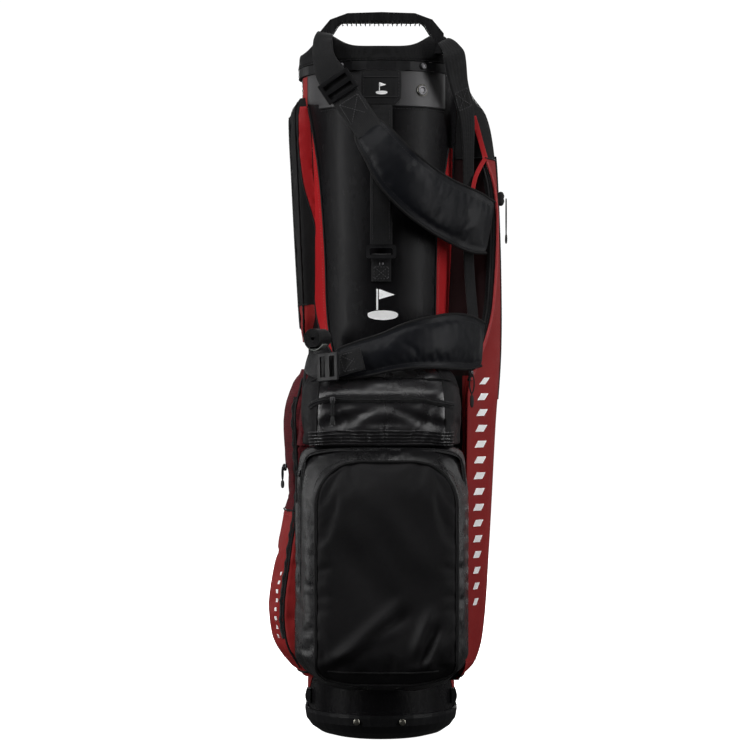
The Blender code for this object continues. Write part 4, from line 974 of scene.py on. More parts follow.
def surface_patch(piece, count, rows_of, columns_of):
    """Points and normals on a pocket grid at fractional rows and columns."""
    def at(row, column):
        i, j = int(row), int(column)
        u, v = row - i, column - j
        corners = [piece.data.vertices[(i + a) * count + j + b] for a in (0, 1) for b in (0, 1)]
        shares = ((1 - u) * (1 - v), (1 - u) * v, u * (1 - v), u * v)
        place = sum((c.co * s for c, s in zip(corners, shares)), Vector())
        normal = sum((c.normal * s for c, s in zip(corners, shares)), Vector()).normalized()
        return place, normal
    return [[at(r, c) for c in columns_of(r)] for r in rows_of]


def sewn_patch(name, patch, thick, material):
    """Thin closed sheet that lies on a surface patch."""
    loops = [[p + n * thick for p, n in line] + [p - n * 0.0002 for p, n in reversed(line)] for line in patch]
    return grid(name, loops, material, wrap=True, caps=True)


def zip_run(name, path, normals, width, teeth, lift=0.0006):
    """Zip: woven tape, the coil along its middle, and a line of stitches on each side."""
    lifted = [p + Vector(n).normalized() * lift for p, n in zip(path, normals)]
    tape = ribbon(name + "_tape", lifted, normals, width, 0.0007, MAT["tape"])
    belong(tape, "bag", "black_fabric")
    ridge = [p + Vector(n).normalized() * (lift + 0.0007) for p, n in zip(path, normals)]
    coil = tube(name + "_coil", ridge, teeth, MAT["coil"], 8, wave=0.00022, pitch=0.0018)
    belong(coil, "bag", "black_plastic")
    frames = path_frames(lifted, normals)
    for sign, side in ((-1, "a"), (1, "b")):
        edge = [point + across * (sign * (width / 2 - 0.0016)) + out * 0.0004
                for point, across, out in frames]
        sewn(name + "_stitches_" + side, edge, normals, "thread", "black_fabric", 0.0036, 0.0025, 0.0003)


RIGHT_OUT = [(0.0740, 0.1000), (0.0950, 0.1200), (0.1350, 0.1310), (0.2500, 0.1388), (0.4000, 0.1468),
             (0.5000, 0.1540), (0.6000, 0.1540), (0.7000, 0.1505), (0.7570, 0.1462), (0.8000, 0.1362),
             (0.8240, 0.1180), (0.8430, 0.1080)]
RIGHT_EDGE_X = [(0.0740, 0.0985), (0.0950, 0.1065), (0.4400, 0.1090), (0.4700, 0.1190), (0.5135, 0.1355),
                (0.5580, 0.1444), (0.6540, 0.1490), (0.7052, 0.1444), (0.7420, 0.1330), (0.7900, 0.1200),
                (0.8430, 0.1050)]
RIGHT_EDGE_Y = [(0.0740, -0.0640), (0.0950, -0.0800), (0.4300, -0.0880), (0.5200, -0.0560), (0.7000, -0.0480),
                (0.8430, -0.0300)]
RIGHT_PANEL_Y = [(0.0740, -0.0605), (0.4200, -0.0605), (0.5200, -0.0480), (0.8430, -0.0280)]
RIGHT_BACK_Y = [(0.0740, 0.0450), (0.1400, 0.0700), (0.6500, 0.0720), (0.8430, 0.0300)]
RIGHT_RUNS = (5, 6, 3, 14, 3, 5)


def right_ring(z):
    """Level outline of the tall right pocket."""
    x_out = along(RIGHT_OUT, z)
    x_edge = min(along(RIGHT_EDGE_X, z), x_out - 0.0015)
    front, panel, back = along(RIGHT_EDGE_Y, z), along(RIGHT_PANEL_Y, z), along(RIGHT_BACK_Y, z)
    half_y = barrel_half(z, POCKET_GAP)[1]
    start = math.degrees(math.asin(panel / half_y))
    stop = math.degrees(math.asin(back / half_y))
    first_x = barrel_point(z, start, POCKET_GAP).x
    inside_x = max(first_x + 0.002, min(0.1068, x_edge - 0.001))
    corners = [(inside_x, panel), (x_edge, front), (x_out, front + 0.030), (x_out, back - 0.030),
               (blend((first_x, x_out), 0.75), back)]
    return pocket_ring(z, start, stop, corners, (0.006, 0.003, 0.016, 0.016, 0.014), RIGHT_RUNS, 12)


def make_right_pocket():
    """Tall apparel pocket: red outer panel, a recess behind its front edge darkened as painted shade, piping,
    zips and seams.
    """
    heights = spread(0.0740, 0.8430, 128)
    edge = corner_column(RIGHT_RUNS, 1)
    rear = corner_column(RIGHT_RUNS, 3)
    inner = corner_column(RIGHT_RUNS, 0) - 1
    outer = corner_column(RIGHT_RUNS, 2) + 7
    split, hem = nearest(heights, 0.4560), nearest(heights, 0.7400)

    def slot_of(i, j):
        """Black above the hem; black in the low front recess, partly black cloth and partly painted shade;
        red darkened as painted shade in the high recess; red elsewhere.
        """
        if i >= hem and j < rear:
            return 2
        if i <= split and j < inner:
            return 2
        return 1 if j < edge and i > split else 0
    piece, rows, count = sewn_pocket("right_apparel_pocket", heights, right_ring, 12,
                                     [MAT["red"], MAT["red_painted_shade"], MAT["black"]], slot_of,
                                     (edge, edge - 3, rear, outer), "red_fabric", ["right_pocket"],
                                     pressure=3.0, slack=0.022, out_cap=0.0050, in_cap=0.002)
    path, normals = raised(column_path(piece, rows, count, edge, split, hem), 0.0008)
    piped("right_edge_piping", path, 0.0018, normals, sides=10, key="red_piping", slot="red_fabric")
    accent, turns = raised(column_path(piece, rows, count, edge, hem, len(rows) - 8), 0.0006)
    belong(ribbon("right_top_accent", accent, turns, 0.0065, 0.0010, MAT["stripe"]), "bag", "red_fabric")
    fork = spline([accent[0], (0.1195, -0.0600, 0.7117), (0.1130, -0.0640, 0.6700)], 40)
    belong(ribbon("right_fork_accent", fork, [Vector((0.3, -1, 0))] * 40, 0.0050, 0.0010, MAT["stripe"]),
           "bag", "red_fabric")
    path, normals = column_path(piece, rows, count, edge - 3, split, hem)
    zip_run("right_zip", path, normals, 0.0090, 0.0011)
    path, normals = raised(column_path(piece, rows, count, rear, 3, len(rows) - 2), 0.0006)
    piped("right_rear_piping", path, 0.0014, normals)
    path, normals = column_path(piece, rows, count, outer, nearest(heights, 0.4300), nearest(heights, 0.7500))
    zip_run("side_zip", path, normals, 0.0130, 0.0013)
    for column, name in ((edge + 2, "right_edge"), (rear - 2, "right_rear_a"), (rear + 2, "right_rear_b")):
        path, normals = column_path(piece, rows, count, column, split if column < rear - 4 else 3, hem)
        sewn(name + "_stitches", path, normals, *RED)
    path, normals = raised(row_path(piece, count, hem, 1, rear), 0.0005)
    piped("right_top_seam", path, 0.0012, normals)
    path, normals = row_path(piece, count, nearest(heights, 0.0980), 6, count - 14)
    sewn("right_hem_stitches", path, normals, *RED)
    path, normals = row_path(piece, count, 1, 3, count - 13)
    piped("right_hem_binding", path, 0.0016, normals)
    slanted_bars("right_print", piece, count, 16.0, 15, 3.3, edge + 3.8, 0.8, 0.40)


LEFT_OUT = [(0.0780, 0.1010), (0.0950, 0.1170), (0.1200, 0.1350), (0.1650, 0.1410), (0.2360, 0.1300),
            (0.3140, 0.1170), (0.3600, 0.1195), (0.4170, 0.1210), (0.4455, 0.1120), (0.4820, 0.0985)]
LEFT_RUNS = (5, 3, 14, 3, 6)


def left_ring(z):
    """Level outline of the lower left pocket."""
    x_out = along(LEFT_OUT, z)
    front = along([(0.0780, -0.0560), (0.1200, -0.0605), (0.4170, -0.0605), (0.4700, -0.0450)], z)
    back = along([(0.0780, 0.0450), (0.1400, 0.0700), (0.4000, 0.0700), (0.4700, 0.0450)], z)
    half_y = barrel_half(z, POCKET_GAP)[1]
    start = 180 - math.degrees(math.asin(back / half_y))
    stop = 180 - math.degrees(math.asin(front / half_y))
    near = abs(barrel_point(z, stop).x)
    corners = [(-blend((near, x_out), 0.7), back), (-x_out, back - 0.030), (-x_out, front + 0.022),
               (-blend((near, x_out), 0.75), front)]
    return pocket_ring(z, start, stop, corners, (0.014, 0.016, 0.012, 0.006), LEFT_RUNS, 12)


def make_left_lower_pocket():
    """Lower left pocket: red below, burgundy mesh above, with its piping, zip and seams."""
    heights = spread(0.0780, 0.4700, 66)
    front = corner_column(LEFT_RUNS, 3)
    rear = corner_column(LEFT_RUNS, 1)
    change = nearest(heights, 0.2900)
    piece, rows, count = sewn_pocket("left_side_pocket", heights, left_ring, 12,
                                     [MAT["red"], MAT["red_mesh"]], lambda i, j: 1 if i >= change else 0,
                                     (front, front - 4, rear), "red_fabric", ["left_lower_pocket"],
                                     pressure=3.0, slack=0.022, out_cap=0.0045, in_cap=0.002)
    for column, name in ((front, "left_front"), (rear, "left_rear")):
        path, normals = raised(column_path(piece, rows, count, column, 2, len(rows) - 2), 0.0005)
        piped(name + "_piping", path, 0.0015, normals)
    path, normals = column_path(piece, rows, count, front - 2, 8, len(rows) - 6)
    zip_run("left_zip", path, normals, 0.0060, 0.0009)
    path, normals = row_path(piece, count, 1, 3, count - 15)
    piped("left_hem_binding", path, 0.0016, normals)
    slanted_bars("left_print", piece, count, 8.0, 8, 1.9, front - 5.2, 0.4, -0.12)
    path, normals = raised(row_path(piece, count, change, 2, count - 14), 0.0005)
    piped("left_change_seam", path, 0.0012, normals)
    for row, name in ((change - 1, "left_change_stitches"), (4, "left_hem_stitches")):
        path, normals = row_path(piece, count, row, 2, count - 14)
        sewn(name, path, normals, *RED)


UPPER_OUT = [(0.5050, 0.1015), (0.5300, 0.1040), (0.6250, 0.1095), (0.7230, 0.1145), (0.7770, 0.1172),
             (0.8030, 0.1160), (0.8180, 0.1060)]
UPPER_RUNS = (2, 4, 10, 4, 2)


def upper_ring(z):
    """Level outline of the slim upper left pocket."""
    x_out = along(UPPER_OUT, z)
    reach = along([(0.5050, 0.030), (0.5400, 0.048), (0.7770, 0.052), (0.8180, 0.034)], z)
    turn = math.degrees(math.asin(reach / barrel_half(z, POCKET_GAP)[1]))
    near = abs(barrel_point(z, 180 - turn).x)
    corners = [(-blend((near, x_out), 0.8), reach), (-x_out, reach - 0.026), (-x_out, 0.026 - reach),
               (-blend((near, x_out), 0.8), -reach)]
    return pocket_ring(z, 180 - turn, 180 + turn, corners, (0.008, 0.012, 0.012, 0.008), UPPER_RUNS, 12)


def make_left_upper_pocket():
    """Slim black pocket high on the left, with a zip down its front corner."""
    heights = spread(0.5050, 0.8180, 54)
    turn = corner_column(UPPER_RUNS, 3) - 1
    piece, rows, count = sewn_pocket("left_slim_pocket", heights, upper_ring, 12,
                                     [MAT["black"], MAT["red"]], lambda i, j: int(heights[i] < 0.5520),
                                     [corner_column(UPPER_RUNS, k) for k in (1, 3)]
                                     + [corner_column(UPPER_RUNS, 2) - 1], "black_fabric",
                                     ["left_upper_pocket"], pressure=2.0, slack=0.006, out_cap=0.0025,
                                     in_cap=0.001)
    for corner, name in ((0, "slim_rear"), (3, "slim_front")):
        column = corner_column(UPPER_RUNS, corner)
        path, normals = raised(column_path(piece, rows, count, column, 1, len(rows) - 1), 0.0004)
        piped(name + "_piping", path, 0.0013, normals)
    path, normals = column_path(piece, rows, count, corner_column(UPPER_RUNS, 2) - 1, 3, len(rows) - 4)
    zip_run("slim_zip", path, normals, 0.0095, 0.0010)
    step = heights[1] - heights[0]
    low = 1 + int((0.5520 - heights[0]) / step)
    path, normals = raised(row_path(piece, count, low, 1, count - 13), 0.0004)
    piped("slim_low_seam", path, 0.0012, normals)

    def across(row):
        """Columns that the bright stripe covers on the pocket's front face."""
        z = heights[0] + row * step
        first = along([(0.6000, 5.9), (0.6600, 4.6), (0.7000, 3.2), (0.7500, 2.2), (0.8080, 2.6)], z)
        return spread(turn + first, turn + 6.6, 7)
    top = (0.8060 - heights[0]) / step
    patch = surface_patch(piece, count, spread((0.6050 - heights[0]) / step, top, 60), across)
    belong(sewn_patch("stripe_on_slim_pocket", patch, 0.0009, MAT["stripe"]), "bag", "red_fabric")
    edge = [line[0] for line in patch]
    piped("stripe_on_slim_piping", [p + n * 0.0006 for p, n in edge], 0.0010, [n for _, n in edge])


GUSSET_RUNS = (2, 4, 2)


def make_mesh_gusset():
    """Small burgundy mesh gusset in front of the left pocket."""
    def ring(z):
        half_y = barrel_half(z, POCKET_GAP)[1]
        start = 180 + math.degrees(math.asin(0.0625 / half_y))
        stop = 180 + math.degrees(math.asin(0.0860 / half_y))
        lean = along([(0.3735, 0.0), (0.4560, 0.010)], z)
        corners = [(-0.1080 + lean, -0.0625), (-0.1030 + lean, -0.0860)]
        return pocket_ring(z, start, stop, corners, (0.004, 0.004), GUSSET_RUNS, 4)
    sewn_pocket("burgundy_gusset", spread(0.3735, 0.4560, 18), ring, 4, [MAT["red_mesh"]], None,
                (corner_column(GUSSET_RUNS, 0),), "mesh_fabric", ["mesh_gusset"], pressure=2.0, slack=0.02,
                out_cap=0.002, in_cap=0.001)


ACCESSORY_RUNS = (4, 8, 30, 8, 4)
ACCESSORY_ZIP_Z = 0.4310


def accessory_ring(z):
    """Level outline of the accessory pocket, its face leaning back to the barrel at the top."""
    front = along([(0.3732, 0.1600), (0.3950, 0.1640), (0.4350, 0.1600), (0.4500, 0.1500), (0.4620, 0.1360),
                   (0.4700, 0.1250), (0.4750, 0.1150)], z) - 0.0030
    reach = along([(0.3732, 0.1010), (0.4350, 0.1000), (0.4620, 0.0930), (0.4750, 0.0820)], z)
    face = along([(0.3732, 0.0830), (0.4350, 0.0790), (0.4620, 0.0750), (0.4750, 0.0660)], z)
    turn = math.degrees(math.asin(0.0900 / barrel_half(z, POCKET_GAP)[1]))
    corners = [(-reach, -0.1040), (-face, -front), (face, -front), (reach, -0.1040)]
    return pocket_ring(z, 180 + turn, 360 - turn, corners, (0.010, 0.018, 0.018, 0.010), ACCESSORY_RUNS, 12)


def make_accessory_pocket():
    """Accessory pocket: a creased face of coated cloth, matt gussets, one level zip, ribs and piping."""
    heights = spread(0.3732, 0.4750, 26)
    sides = corner_column(ACCESSORY_RUNS, 1), corner_column(ACCESSORY_RUNS, 2)

    def slot_of(_, column):
        """Coated cloth, lightened as a painted sheen, on the face and matt cloth on the gusset behind its two
        side seams.
        """
        return 0 if sides[0] <= column < sides[1] else 1
    piece, _, count = sewn_pocket("accessory_pocket_cloth", heights, accessory_ring, 12,
                                  [MAT["access"], MAT["matte"]], slot_of, (), "black_fabric",
                                  ["accessory_pocket"], pressure=3.5, slack=0.050, out_cap=0.0035,
                                  in_cap=0.003, stiffness=9.0, bending=0.05)
    for start, end, width, height in ACCESSORY_FOLDS:
        fold(piece, start, end, width, height)
    for vertex in piece.data.vertices:
        place = vertex.co
        if vertex.normal.y > -0.5:
            continue
        flat = 1 - smoothstep(0.0060, 0.0150, abs(place.z - ACCESSORY_ZIP_Z))
        flat *= 1 - smoothstep(0.0660, 0.0760, abs(place.x))
        place.y = max(blend((place.y, -0.1606), flat), -0.1642)
    subdivide(piece)
    left, right = corner_column(ACCESSORY_RUNS, 1) - 2, corner_column(ACCESSORY_RUNS, 2) + 3

    def curve(level, drop, lift=0.0012):
        """Line across the pocket's face that falls away at its left end."""
        points, normals = [], []
        for j in range(left, right):
            share = (j - left) / (right - left - 1)
            z = level - drop * (1 - smoothstep(-0.30, 0.12, share)) - 0.15 * drop * smoothstep(0.80, 1.0,
                                                                                               share)
            place = (z - heights[0]) / (heights[1] - heights[0])
            low = min(len(heights) - 2, max(0, int(place)))
            a, b = piece.data.vertices[low * count + j], piece.data.vertices[(low + 1) * count + j]
            normal = a.normal.lerp(b.normal, place - low).normalized()
            points.append(a.co.lerp(b.co, place - low) + normal * lift)
            normals.append(normal)
        return spline(points, 90), spline(normals, 90)
    points, normals = curve(ACCESSORY_ZIP_Z, 0.0450, 0.00055)
    ahead = Vector((0, -1, 0))
    normals = [ahead.lerp(n, smoothstep(0.0620, 0.0760, abs(p.x))).normalized()
               for p, n in zip(points, normals)]
    zip_run("accessory_zip", points, normals, 0.0072, 0.0009, 0.0002)
    points, normals = curve(0.4560, 0.0140)
    piped("accessory_top_piping", points, 0.0011, normals)
    # The ribs take the lightened face cloth, a painted sheen.
    for k, level in enumerate((0.3930, 0.3890, 0.3850, 0.3810, 0.3775)):
        points, normals = curve(level, 0.0100, 0.0002)
        piped("accessory_rib_%d" % k, points, 0.0010, normals, key="access")
    for column, side in zip(sides, ("left", "right")):
        points, normals = column_path(piece, heights, count, column)
        piped("accessory_side_seam_" + side, spline(points, 60), 0.0009, spline(normals, 60))


def fold(piece, start, end, width, height):
    """Soft ridge (or, with a negative height, a valley) in a front panel, from start to end as (x, z)."""
    a, b = Vector((*start, 0.0)), Vector((*end, 0.0))
    run = b - a
    for vertex in piece.data.vertices:
        if vertex.normal.y > -0.5:
            continue
        here = Vector((vertex.co.x, vertex.co.z, 0.0)) - a
        t = here.dot(run) / run.length_squared
        away = (here - run * min(1.0, max(0.0, t))).length
        taper = smoothstep(-0.15, 0.25, t) * (1 - smoothstep(0.75, 1.15, t))
        vertex.co.y -= height * taper * math.exp(-(away / width) ** 2)


BALL_FOLDS = [((-0.0720, 0.1000), (0.0280, 0.1880), 0.0075, 0.0052),
              ((-0.0560, 0.1150), (0.0240, 0.1560), 0.0060, 0.0040),
              ((-0.0640, 0.0980), (0.0320, 0.1700), 0.0060, -0.0036),
              ((0.0400, 0.1200), (0.0620, 0.1760), 0.0070, 0.0050),
              ((0.0560, 0.1040), (0.0740, 0.1460), 0.0055, 0.0046),
              ((0.0480, 0.1040), (0.0680, 0.1560), 0.0055, -0.0042),
              ((0.0300, 0.0980), (0.0660, 0.1120), 0.0060, 0.0036),
              ((-0.0500, 0.2600), (0.0400, 0.1500), 0.0220, -0.0036),
              ((-0.0200, 0.3200), (0.0600, 0.2200), 0.0180, 0.0030),
              ((-0.0300, 0.2900), (0.0300, 0.1800), 0.0130, 0.0024)]
ACCESSORY_FOLDS = [((-0.0760, 0.4010), (-0.0100, 0.4190), 0.0045, -0.0062),
                   ((-0.0700, 0.3960), (-0.0240, 0.4070), 0.0038, -0.0050),
                   ((0.0180, 0.4190), (0.0800, 0.4000), 0.0045, -0.0060),
                   ((0.0340, 0.4080), (0.0760, 0.3960), 0.0036, -0.0048),
                   ((-0.0220, 0.4020), (0.0380, 0.4040), 0.0050, -0.0036),
                   ((-0.0740, 0.4490), (-0.0100, 0.4590), 0.0045, -0.0046),
                   ((0.0160, 0.4590), (0.0740, 0.4510), 0.0042, -0.0044),
                   ((-0.0300, 0.4640), (0.0300, 0.4650), 0.0040, -0.0030),
                   ((0.0500, 0.4120), (0.0820, 0.4070), 0.0035, 0.0022)]


BALL_LOW, BALL_HIGH = 0.0820, 0.3560      # heights of the ball pocket's front panel
ARCH_START, ARCH_RISE = 0.3020, 0.0540    # its rounded top


def ball_outline(rows_up, columns):
    """Front panel of the ball pocket as a grid of (x, z), its top corners rounded into an arch."""
    grid_points = []
    for i in range(rows_up):
        share = i / (rows_up - 1)
        z = BALL_LOW + (BALL_HIGH - BALL_LOW) * (1 - (1 - share) ** 1.15)
        above = max(0.0, z - ARCH_START) / ARCH_RISE
        below = max(0.0, 0.1000 - z) / 0.0180
        arch = 0.0520 * (1 - math.sqrt(max(0.0, 1 - min(1.0, above) ** 2)))
        foot = 0.0120 * (1 - math.sqrt(max(0.0, 1 - min(1.0, below) ** 2)))
        left, right = -0.0800 + arch + foot, 0.0925 - arch - foot
        grid_points.append([(blend((left, right), k / (columns - 1)), z) for k in range(columns)])
    return grid_points


def clear_of_zips(piece):
    """Keep the ball pocket's gusset behind its own slider, and clear of the right pocket's pull."""
    out = Vector((-0.96, -0.27, 0.0)).normalized()
    limit = out.dot(Vector((-0.1018, -0.1276, 0.0))) - 0.0036
    for vertex in piece.data.vertices:
        place = vertex.co
        if place.x > 0 and place.y > -0.1180:
            place.x = min(place.x, 0.1060)
        proud = out.dot(place) - limit
        if proud > 0 and place.x < 0 and 0.1900 < place.z < 0.3600:
            near = 1 - smoothstep(0.0080, 0.0160, abs(place.y + 0.1276))
            vertex.co = place - out * (proud * near)


def hem_lift(place):
    """How far the ball pocket's lower hem rises towards its two corners."""
    return 0.0130 * smoothstep(0.030, 0.105, abs(place.x - 0.002)) * (1 - smoothstep(0.080, 0.130, place.z))


def make_ball_pocket():
    """Ball pocket: a matte front panel with a rounded top, piping, and a glossy gusset back to the barrel."""
    up, wide = 54, 36
    flat = ball_outline(up, wide)
    body = bmesh.new()
    face_rows = []
    for row in flat:
        line = []
        for x, z in row:
            lean = along([(0.0820, 0.1720), (0.0950, 0.1830), (0.1200, 0.1890), (0.3100, 0.1890),
                          (0.3560, 0.1800)], z)
            line.append(body.verts.new((x, -lean, z)))
        face_rows.append(line)
    for low, high in zip(face_rows, face_rows[1:]):
        for k in range(wide - 1):
            body.faces.new((low[k], low[k + 1], high[k + 1], high[k]))
    edge = [row[0] for row in face_rows] + face_rows[-1][1:-1] + [row[-1] for row in reversed(face_rows)]
    edge += face_rows[0][-2:0:-1]
    previous = edge
    depth_steps = 13
    for step in range(1, depth_steps + 1):
        share = step / depth_steps
        ring = [body.verts.new(gusset_point(vertex.co, share)) for vertex in edge]
        for k in range(len(ring)):
            m = (k + 1) % len(ring)
            face = body.faces.new((previous[k], ring[k], ring[m], previous[m]))
            face.material_index = 1
        previous = ring
    body.verts.index_update()
    held = [v.index for v in edge] + [v.index for v in previous]
    places = [v.co + Vector((0, 0, hem_lift(v.co))) for v in edge]
    piece = make_piece("ball_pocket_cloth", body, [MAT["matte"], MAT["gloss"]])
    inflate(piece, held, pressure=3.0, slack=0.030, out_cap=0.0060, in_cap=0.003, stiffness=10.0, bending=0.1)
    for start, end, width, height in BALL_FOLDS:
        fold(piece, start, end, width, 1.4 * height)
    clear_of_zips(piece)
    for vertex in piece.data.vertices:
        vertex.co.z += hem_lift(vertex.co)
    subdivide(piece)
    belong(piece, "bag", "black_fabric", ["ball_pocket"])
    seam = []
    for x in spread(-0.0660, 0.0700, 40):
        level = 0.0985 + 0.0020 * (x / 0.07) ** 2
        near = min((v.co for v in piece.data.vertices if v.normal.y < -0.5),
                   key=lambda p: (p.x - x) ** 2 + (p.z - level) ** 2)
        seam.append(Vector((x, near.y - 0.0004, level)))
    hem = spline(seam[::3] + [seam[-1]], 80)
    piped("ball_pocket_hem_seam", hem, 0.0011)
    centre = Vector((0.006, -0.150, 0.215))
    loop = [p + (p - centre).normalized() * 0.0004 for p in places]
    loop.append(loop[0])
    turn = loop[2:-1] + loop[:3]
    piped("ball_pocket_piping", resample(turn, 300), 0.0019, sides=10)

    def around(first, last, share, lift):
        """Points and normals round the gusset, beside part of the front edge."""
        normals = [gusset_normal(p) for p in places[first:last]]
        return [gusset_point(p, share) + n * lift for p, n in zip(places[first:last], normals)], normals
    path, normals = around(18, 2 * up + wide - 24, 0.45, 0.0022)
    zip_run("ball_zip", resample(path, 120), resample(normals, 120), 0.0125, 0.0013)
    for share, name in ((0.10, "ball_gusset_front"), (0.86, "ball_gusset_rear")):
        path, normals = around(4, 2 * up + wide - 8, share, 0.0016)
        sewn(name + "_stitches", path, normals)


def gusset_point(front, share):
    """Where the ball pocket's gusset passes, from its front edge (0) back to the barrel (1)."""
    low, high = 0.0760, 0.3722
    up = (front.z - BALL_LOW) / (BALL_HIGH - BALL_LOW)
    side = (front.x - 0.0062) / 0.0862
    squared = 1.0
    if front.z > ARCH_START:
        rise = (front.z - ARCH_START) / ARCH_RISE
        run = max(0.0, (abs(side) - 0.40) / 0.60)
        squared = 1.0 / max(0.72, (rise ** 7 + run ** 7) ** (1 / 7))
        up = min(1.0, (0.2200 + ARCH_RISE * rise * squared) / 0.2740)
        side = math.copysign(min(1.0, 0.40 + 0.60 * run * squared), side) if run else side
    rear_z = low + (high - low) * up
    out = min(1.0, abs(side))
    rear_x = max(-0.1030, min(0.1050, 0.0010 + 0.1035 * side))
    half_x, half_y = barrel_half(rear_z, 0.0003)
    depth = half_y * math.sqrt(max(0.0, 1 - min(1.0, abs(rear_x) / half_x) ** 2))
    rear = Vector((rear_x, -max(0.0665, depth), rear_z))
    knee = Vector((rear_x, min(rear.y - 0.020, -0.115 - 0.03 * (1 - smoothstep(0.75, 1.0, out))), rear_z))
    if share < 0.6:
        return front.lerp(knee, share / 0.6)
    return knee.lerp(rear, (share - 0.6) / 0.4)


def gusset_normal(front):
    """Outward direction of the gusset beside a point of its front edge."""
    x = smoothstep(0.055, 0.080, abs(front.x - 0.006)) * (1 if front.x > 0 else -1)
    z = smoothstep(0.325, 0.352, front.z) - smoothstep(0.095, 0.084, front.z)
    return Vector((x, -0.25, z if abs(z) > 0.02 or abs(x) > 0.02 else 1.0)).normalized()


# Straps --------------------------------------------------------------------------------------------
def eased(stations, count):
    """(point, width, thickness, normal) evenly spaced along a strap's stations."""
    points = spline([s[0] for s in stations], count)
    lengths = [0.0]
    for a, b in zip(stations, stations[1:]):
        lengths.append(lengths[-1] + (Vector(b[0]) - Vector(a[0])).length)
    widths = [(length, s[1]) for length, s in zip(lengths, stations)]
    thicks = [(length, s[2]) for length, s in zip(lengths, stations)]
    result = []
    for i, point in enumerate(points):
        here = lengths[-1] * i / (count - 1)
        spot = max(k for k in range(len(lengths)) if lengths[k] <= here + 1e-9)
        nearer = stations[min(spot + 1, len(stations) - 1)]
        span = max(1e-9, lengths[min(spot + 1, len(lengths) - 1)] - lengths[spot])
        normal = Vector(stations[spot][3]).lerp(Vector(nearer[3]), min(1.0, (here - lengths[spot]) / span))
        result.append((point, along(widths, here), along(thicks, here), normal.normalized()))
    return result


SIDE_COLUMNS = 19                # columns on each face of a pad
SEAM_AT = 2                      # columns from a pad's edge to its sewn channel
PAD_ROWS = 58                    # rows along a pad
END_TAPER = 3                    # rows over which a pad thins at each end


def pad_half(u, thick, lip=0.0013):
    """Half thickness of a pad across its width: a thin sewn lip, then a crowned filling."""
    inside = 1 - SEAM_AT * 2 / (SIDE_COLUMNS - 1)
    if abs(u) >= inside:
        return lip
    return lip + (thick / 2 - lip) * (1 - (abs(u) / inside) ** 2.6) ** 0.6


def padded_strap(name, stations, replaced, slack):
    """Closed pad with a sewn lip all round, its filling swelled by cloth simulation."""
    rows = []
    for i, (point, width, thick, normal) in enumerate(eased(stations, PAD_ROWS)):
        near_end = min(i, PAD_ROWS - 1 - i) / END_TAPER
        fill = thick * math.sqrt(min(1.0, 0.15 + 0.85 * near_end))
        rows.append((point, width, fill, normal))
    frames = path_frames([r[0] for r in rows], [r[3] for r in rows])
    loops = []
    for (point, width, fill, _), (_, across, out) in zip(rows, frames):
        front = [point + across * (u * width / 2) + out * pad_half(u, fill)
                 for u in spread(-1, 1, SIDE_COLUMNS)]
        back = [point + across * (u * width / 2) - out * pad_half(u, 0.8 * fill)
                for u in spread(1, -1, SIDE_COLUMNS)]
        loops.append(front + back)
    piece = grid(name, loops, MAT["satin"], wrap=True, caps=True)
    ring = 2 * SIDE_COLUMNS
    pinned = set()
    for i in range(PAD_ROWS):
        for j in (0, 1, SEAM_AT, SIDE_COLUMNS - 1 - SEAM_AT, SIDE_COLUMNS - 2, SIDE_COLUMNS - 1):
            pinned.add(i * ring + j)
            pinned.add(i * ring + SIDE_COLUMNS + j)
    for i in (0, 1, PAD_ROWS - 2, PAD_ROWS - 1):
        pinned.update(range(i * ring, (i + 1) * ring))
    inflate(piece, pinned, pressure=3.2, slack=slack, out_cap=0.0035, in_cap=0.0020, stiffness=10.0,
            bending=0.10)
    pucker(piece, ring)
    subdivide(piece)
    belong(piece, "bag", "pad_fabric", replaced)
    for side, columns in (("upper", (0, 2 * SIDE_COLUMNS - 1)), ("lower", (SIDE_COLUMNS - 1, SIDE_COLUMNS))):
        points = [vertex.co for vertex in piece.data.vertices]
        edge = [(points[i * ring + columns[0]] + points[i * ring + columns[1]]) / 2 for i in range(PAD_ROWS)]
        piped(name + "_" + side + "_binding", resample(edge, 3 * PAD_ROWS), 0.0019)
    for side, column in (("upper", SEAM_AT), ("lower", SIDE_COLUMNS - 1 - SEAM_AT)):
        points = [piece.data.vertices[i * ring + column].co.copy() for i in range(1, PAD_ROWS - 1)]
        normals = [frames[i][2] for i in range(1, PAD_ROWS - 1)]
        sewn(name + "_" + side + "_stitches", points, normals, "thread", "black_fabric", 0.0034, 0.0024)


def pucker(piece, ring):
    """Small gathers beside the sewn channels, where the stitches draw the cloth in."""
    for i in range(2, PAD_ROWS - 2):
        for j in range(SEAM_AT + 1, SIDE_COLUMNS - 1 - SEAM_AT):
            vertex = piece.data.vertices[i * ring + j]
            near = min(j - SEAM_AT, SIDE_COLUMNS - 1 - SEAM_AT - j)
            wave = math.sin(i * 2.1 + 1.3 * math.sin(i * 0.37 + j * 0.2))
            vertex.co += vertex.normal * (0.0008 * wave / near ** 1.3)


def box_stitch(name, centre, along_axis, out, length, width, lift=0.0006):
    """Sewn box with a cross in it."""
    along_axis = Vector(along_axis).normalized()
    out = (Vector(out) - along_axis * Vector(out).dot(along_axis)).normalized()
    across = along_axis.cross(out)
    centre = Vector(centre) + out * lift
    corner = [centre + along_axis * (a * length / 2) + across * (b * width / 2)
              for a, b in ((-1, -1), (1, -1), (1, 1), (-1, 1))]
    runs = ((0, 1), (1, 2), (2, 3), (3, 0), (0, 2), (1, 3))
    for k, (a, b) in enumerate(runs):
        path = [corner[a].lerp(corner[b], t) for t in spread(0.0, 1.0, 12)]
        sewn("%s_%d" % (name, k), path, [out] * 12, "pale_thread", "webbing", 0.0030, 0.0021, 0.00032)


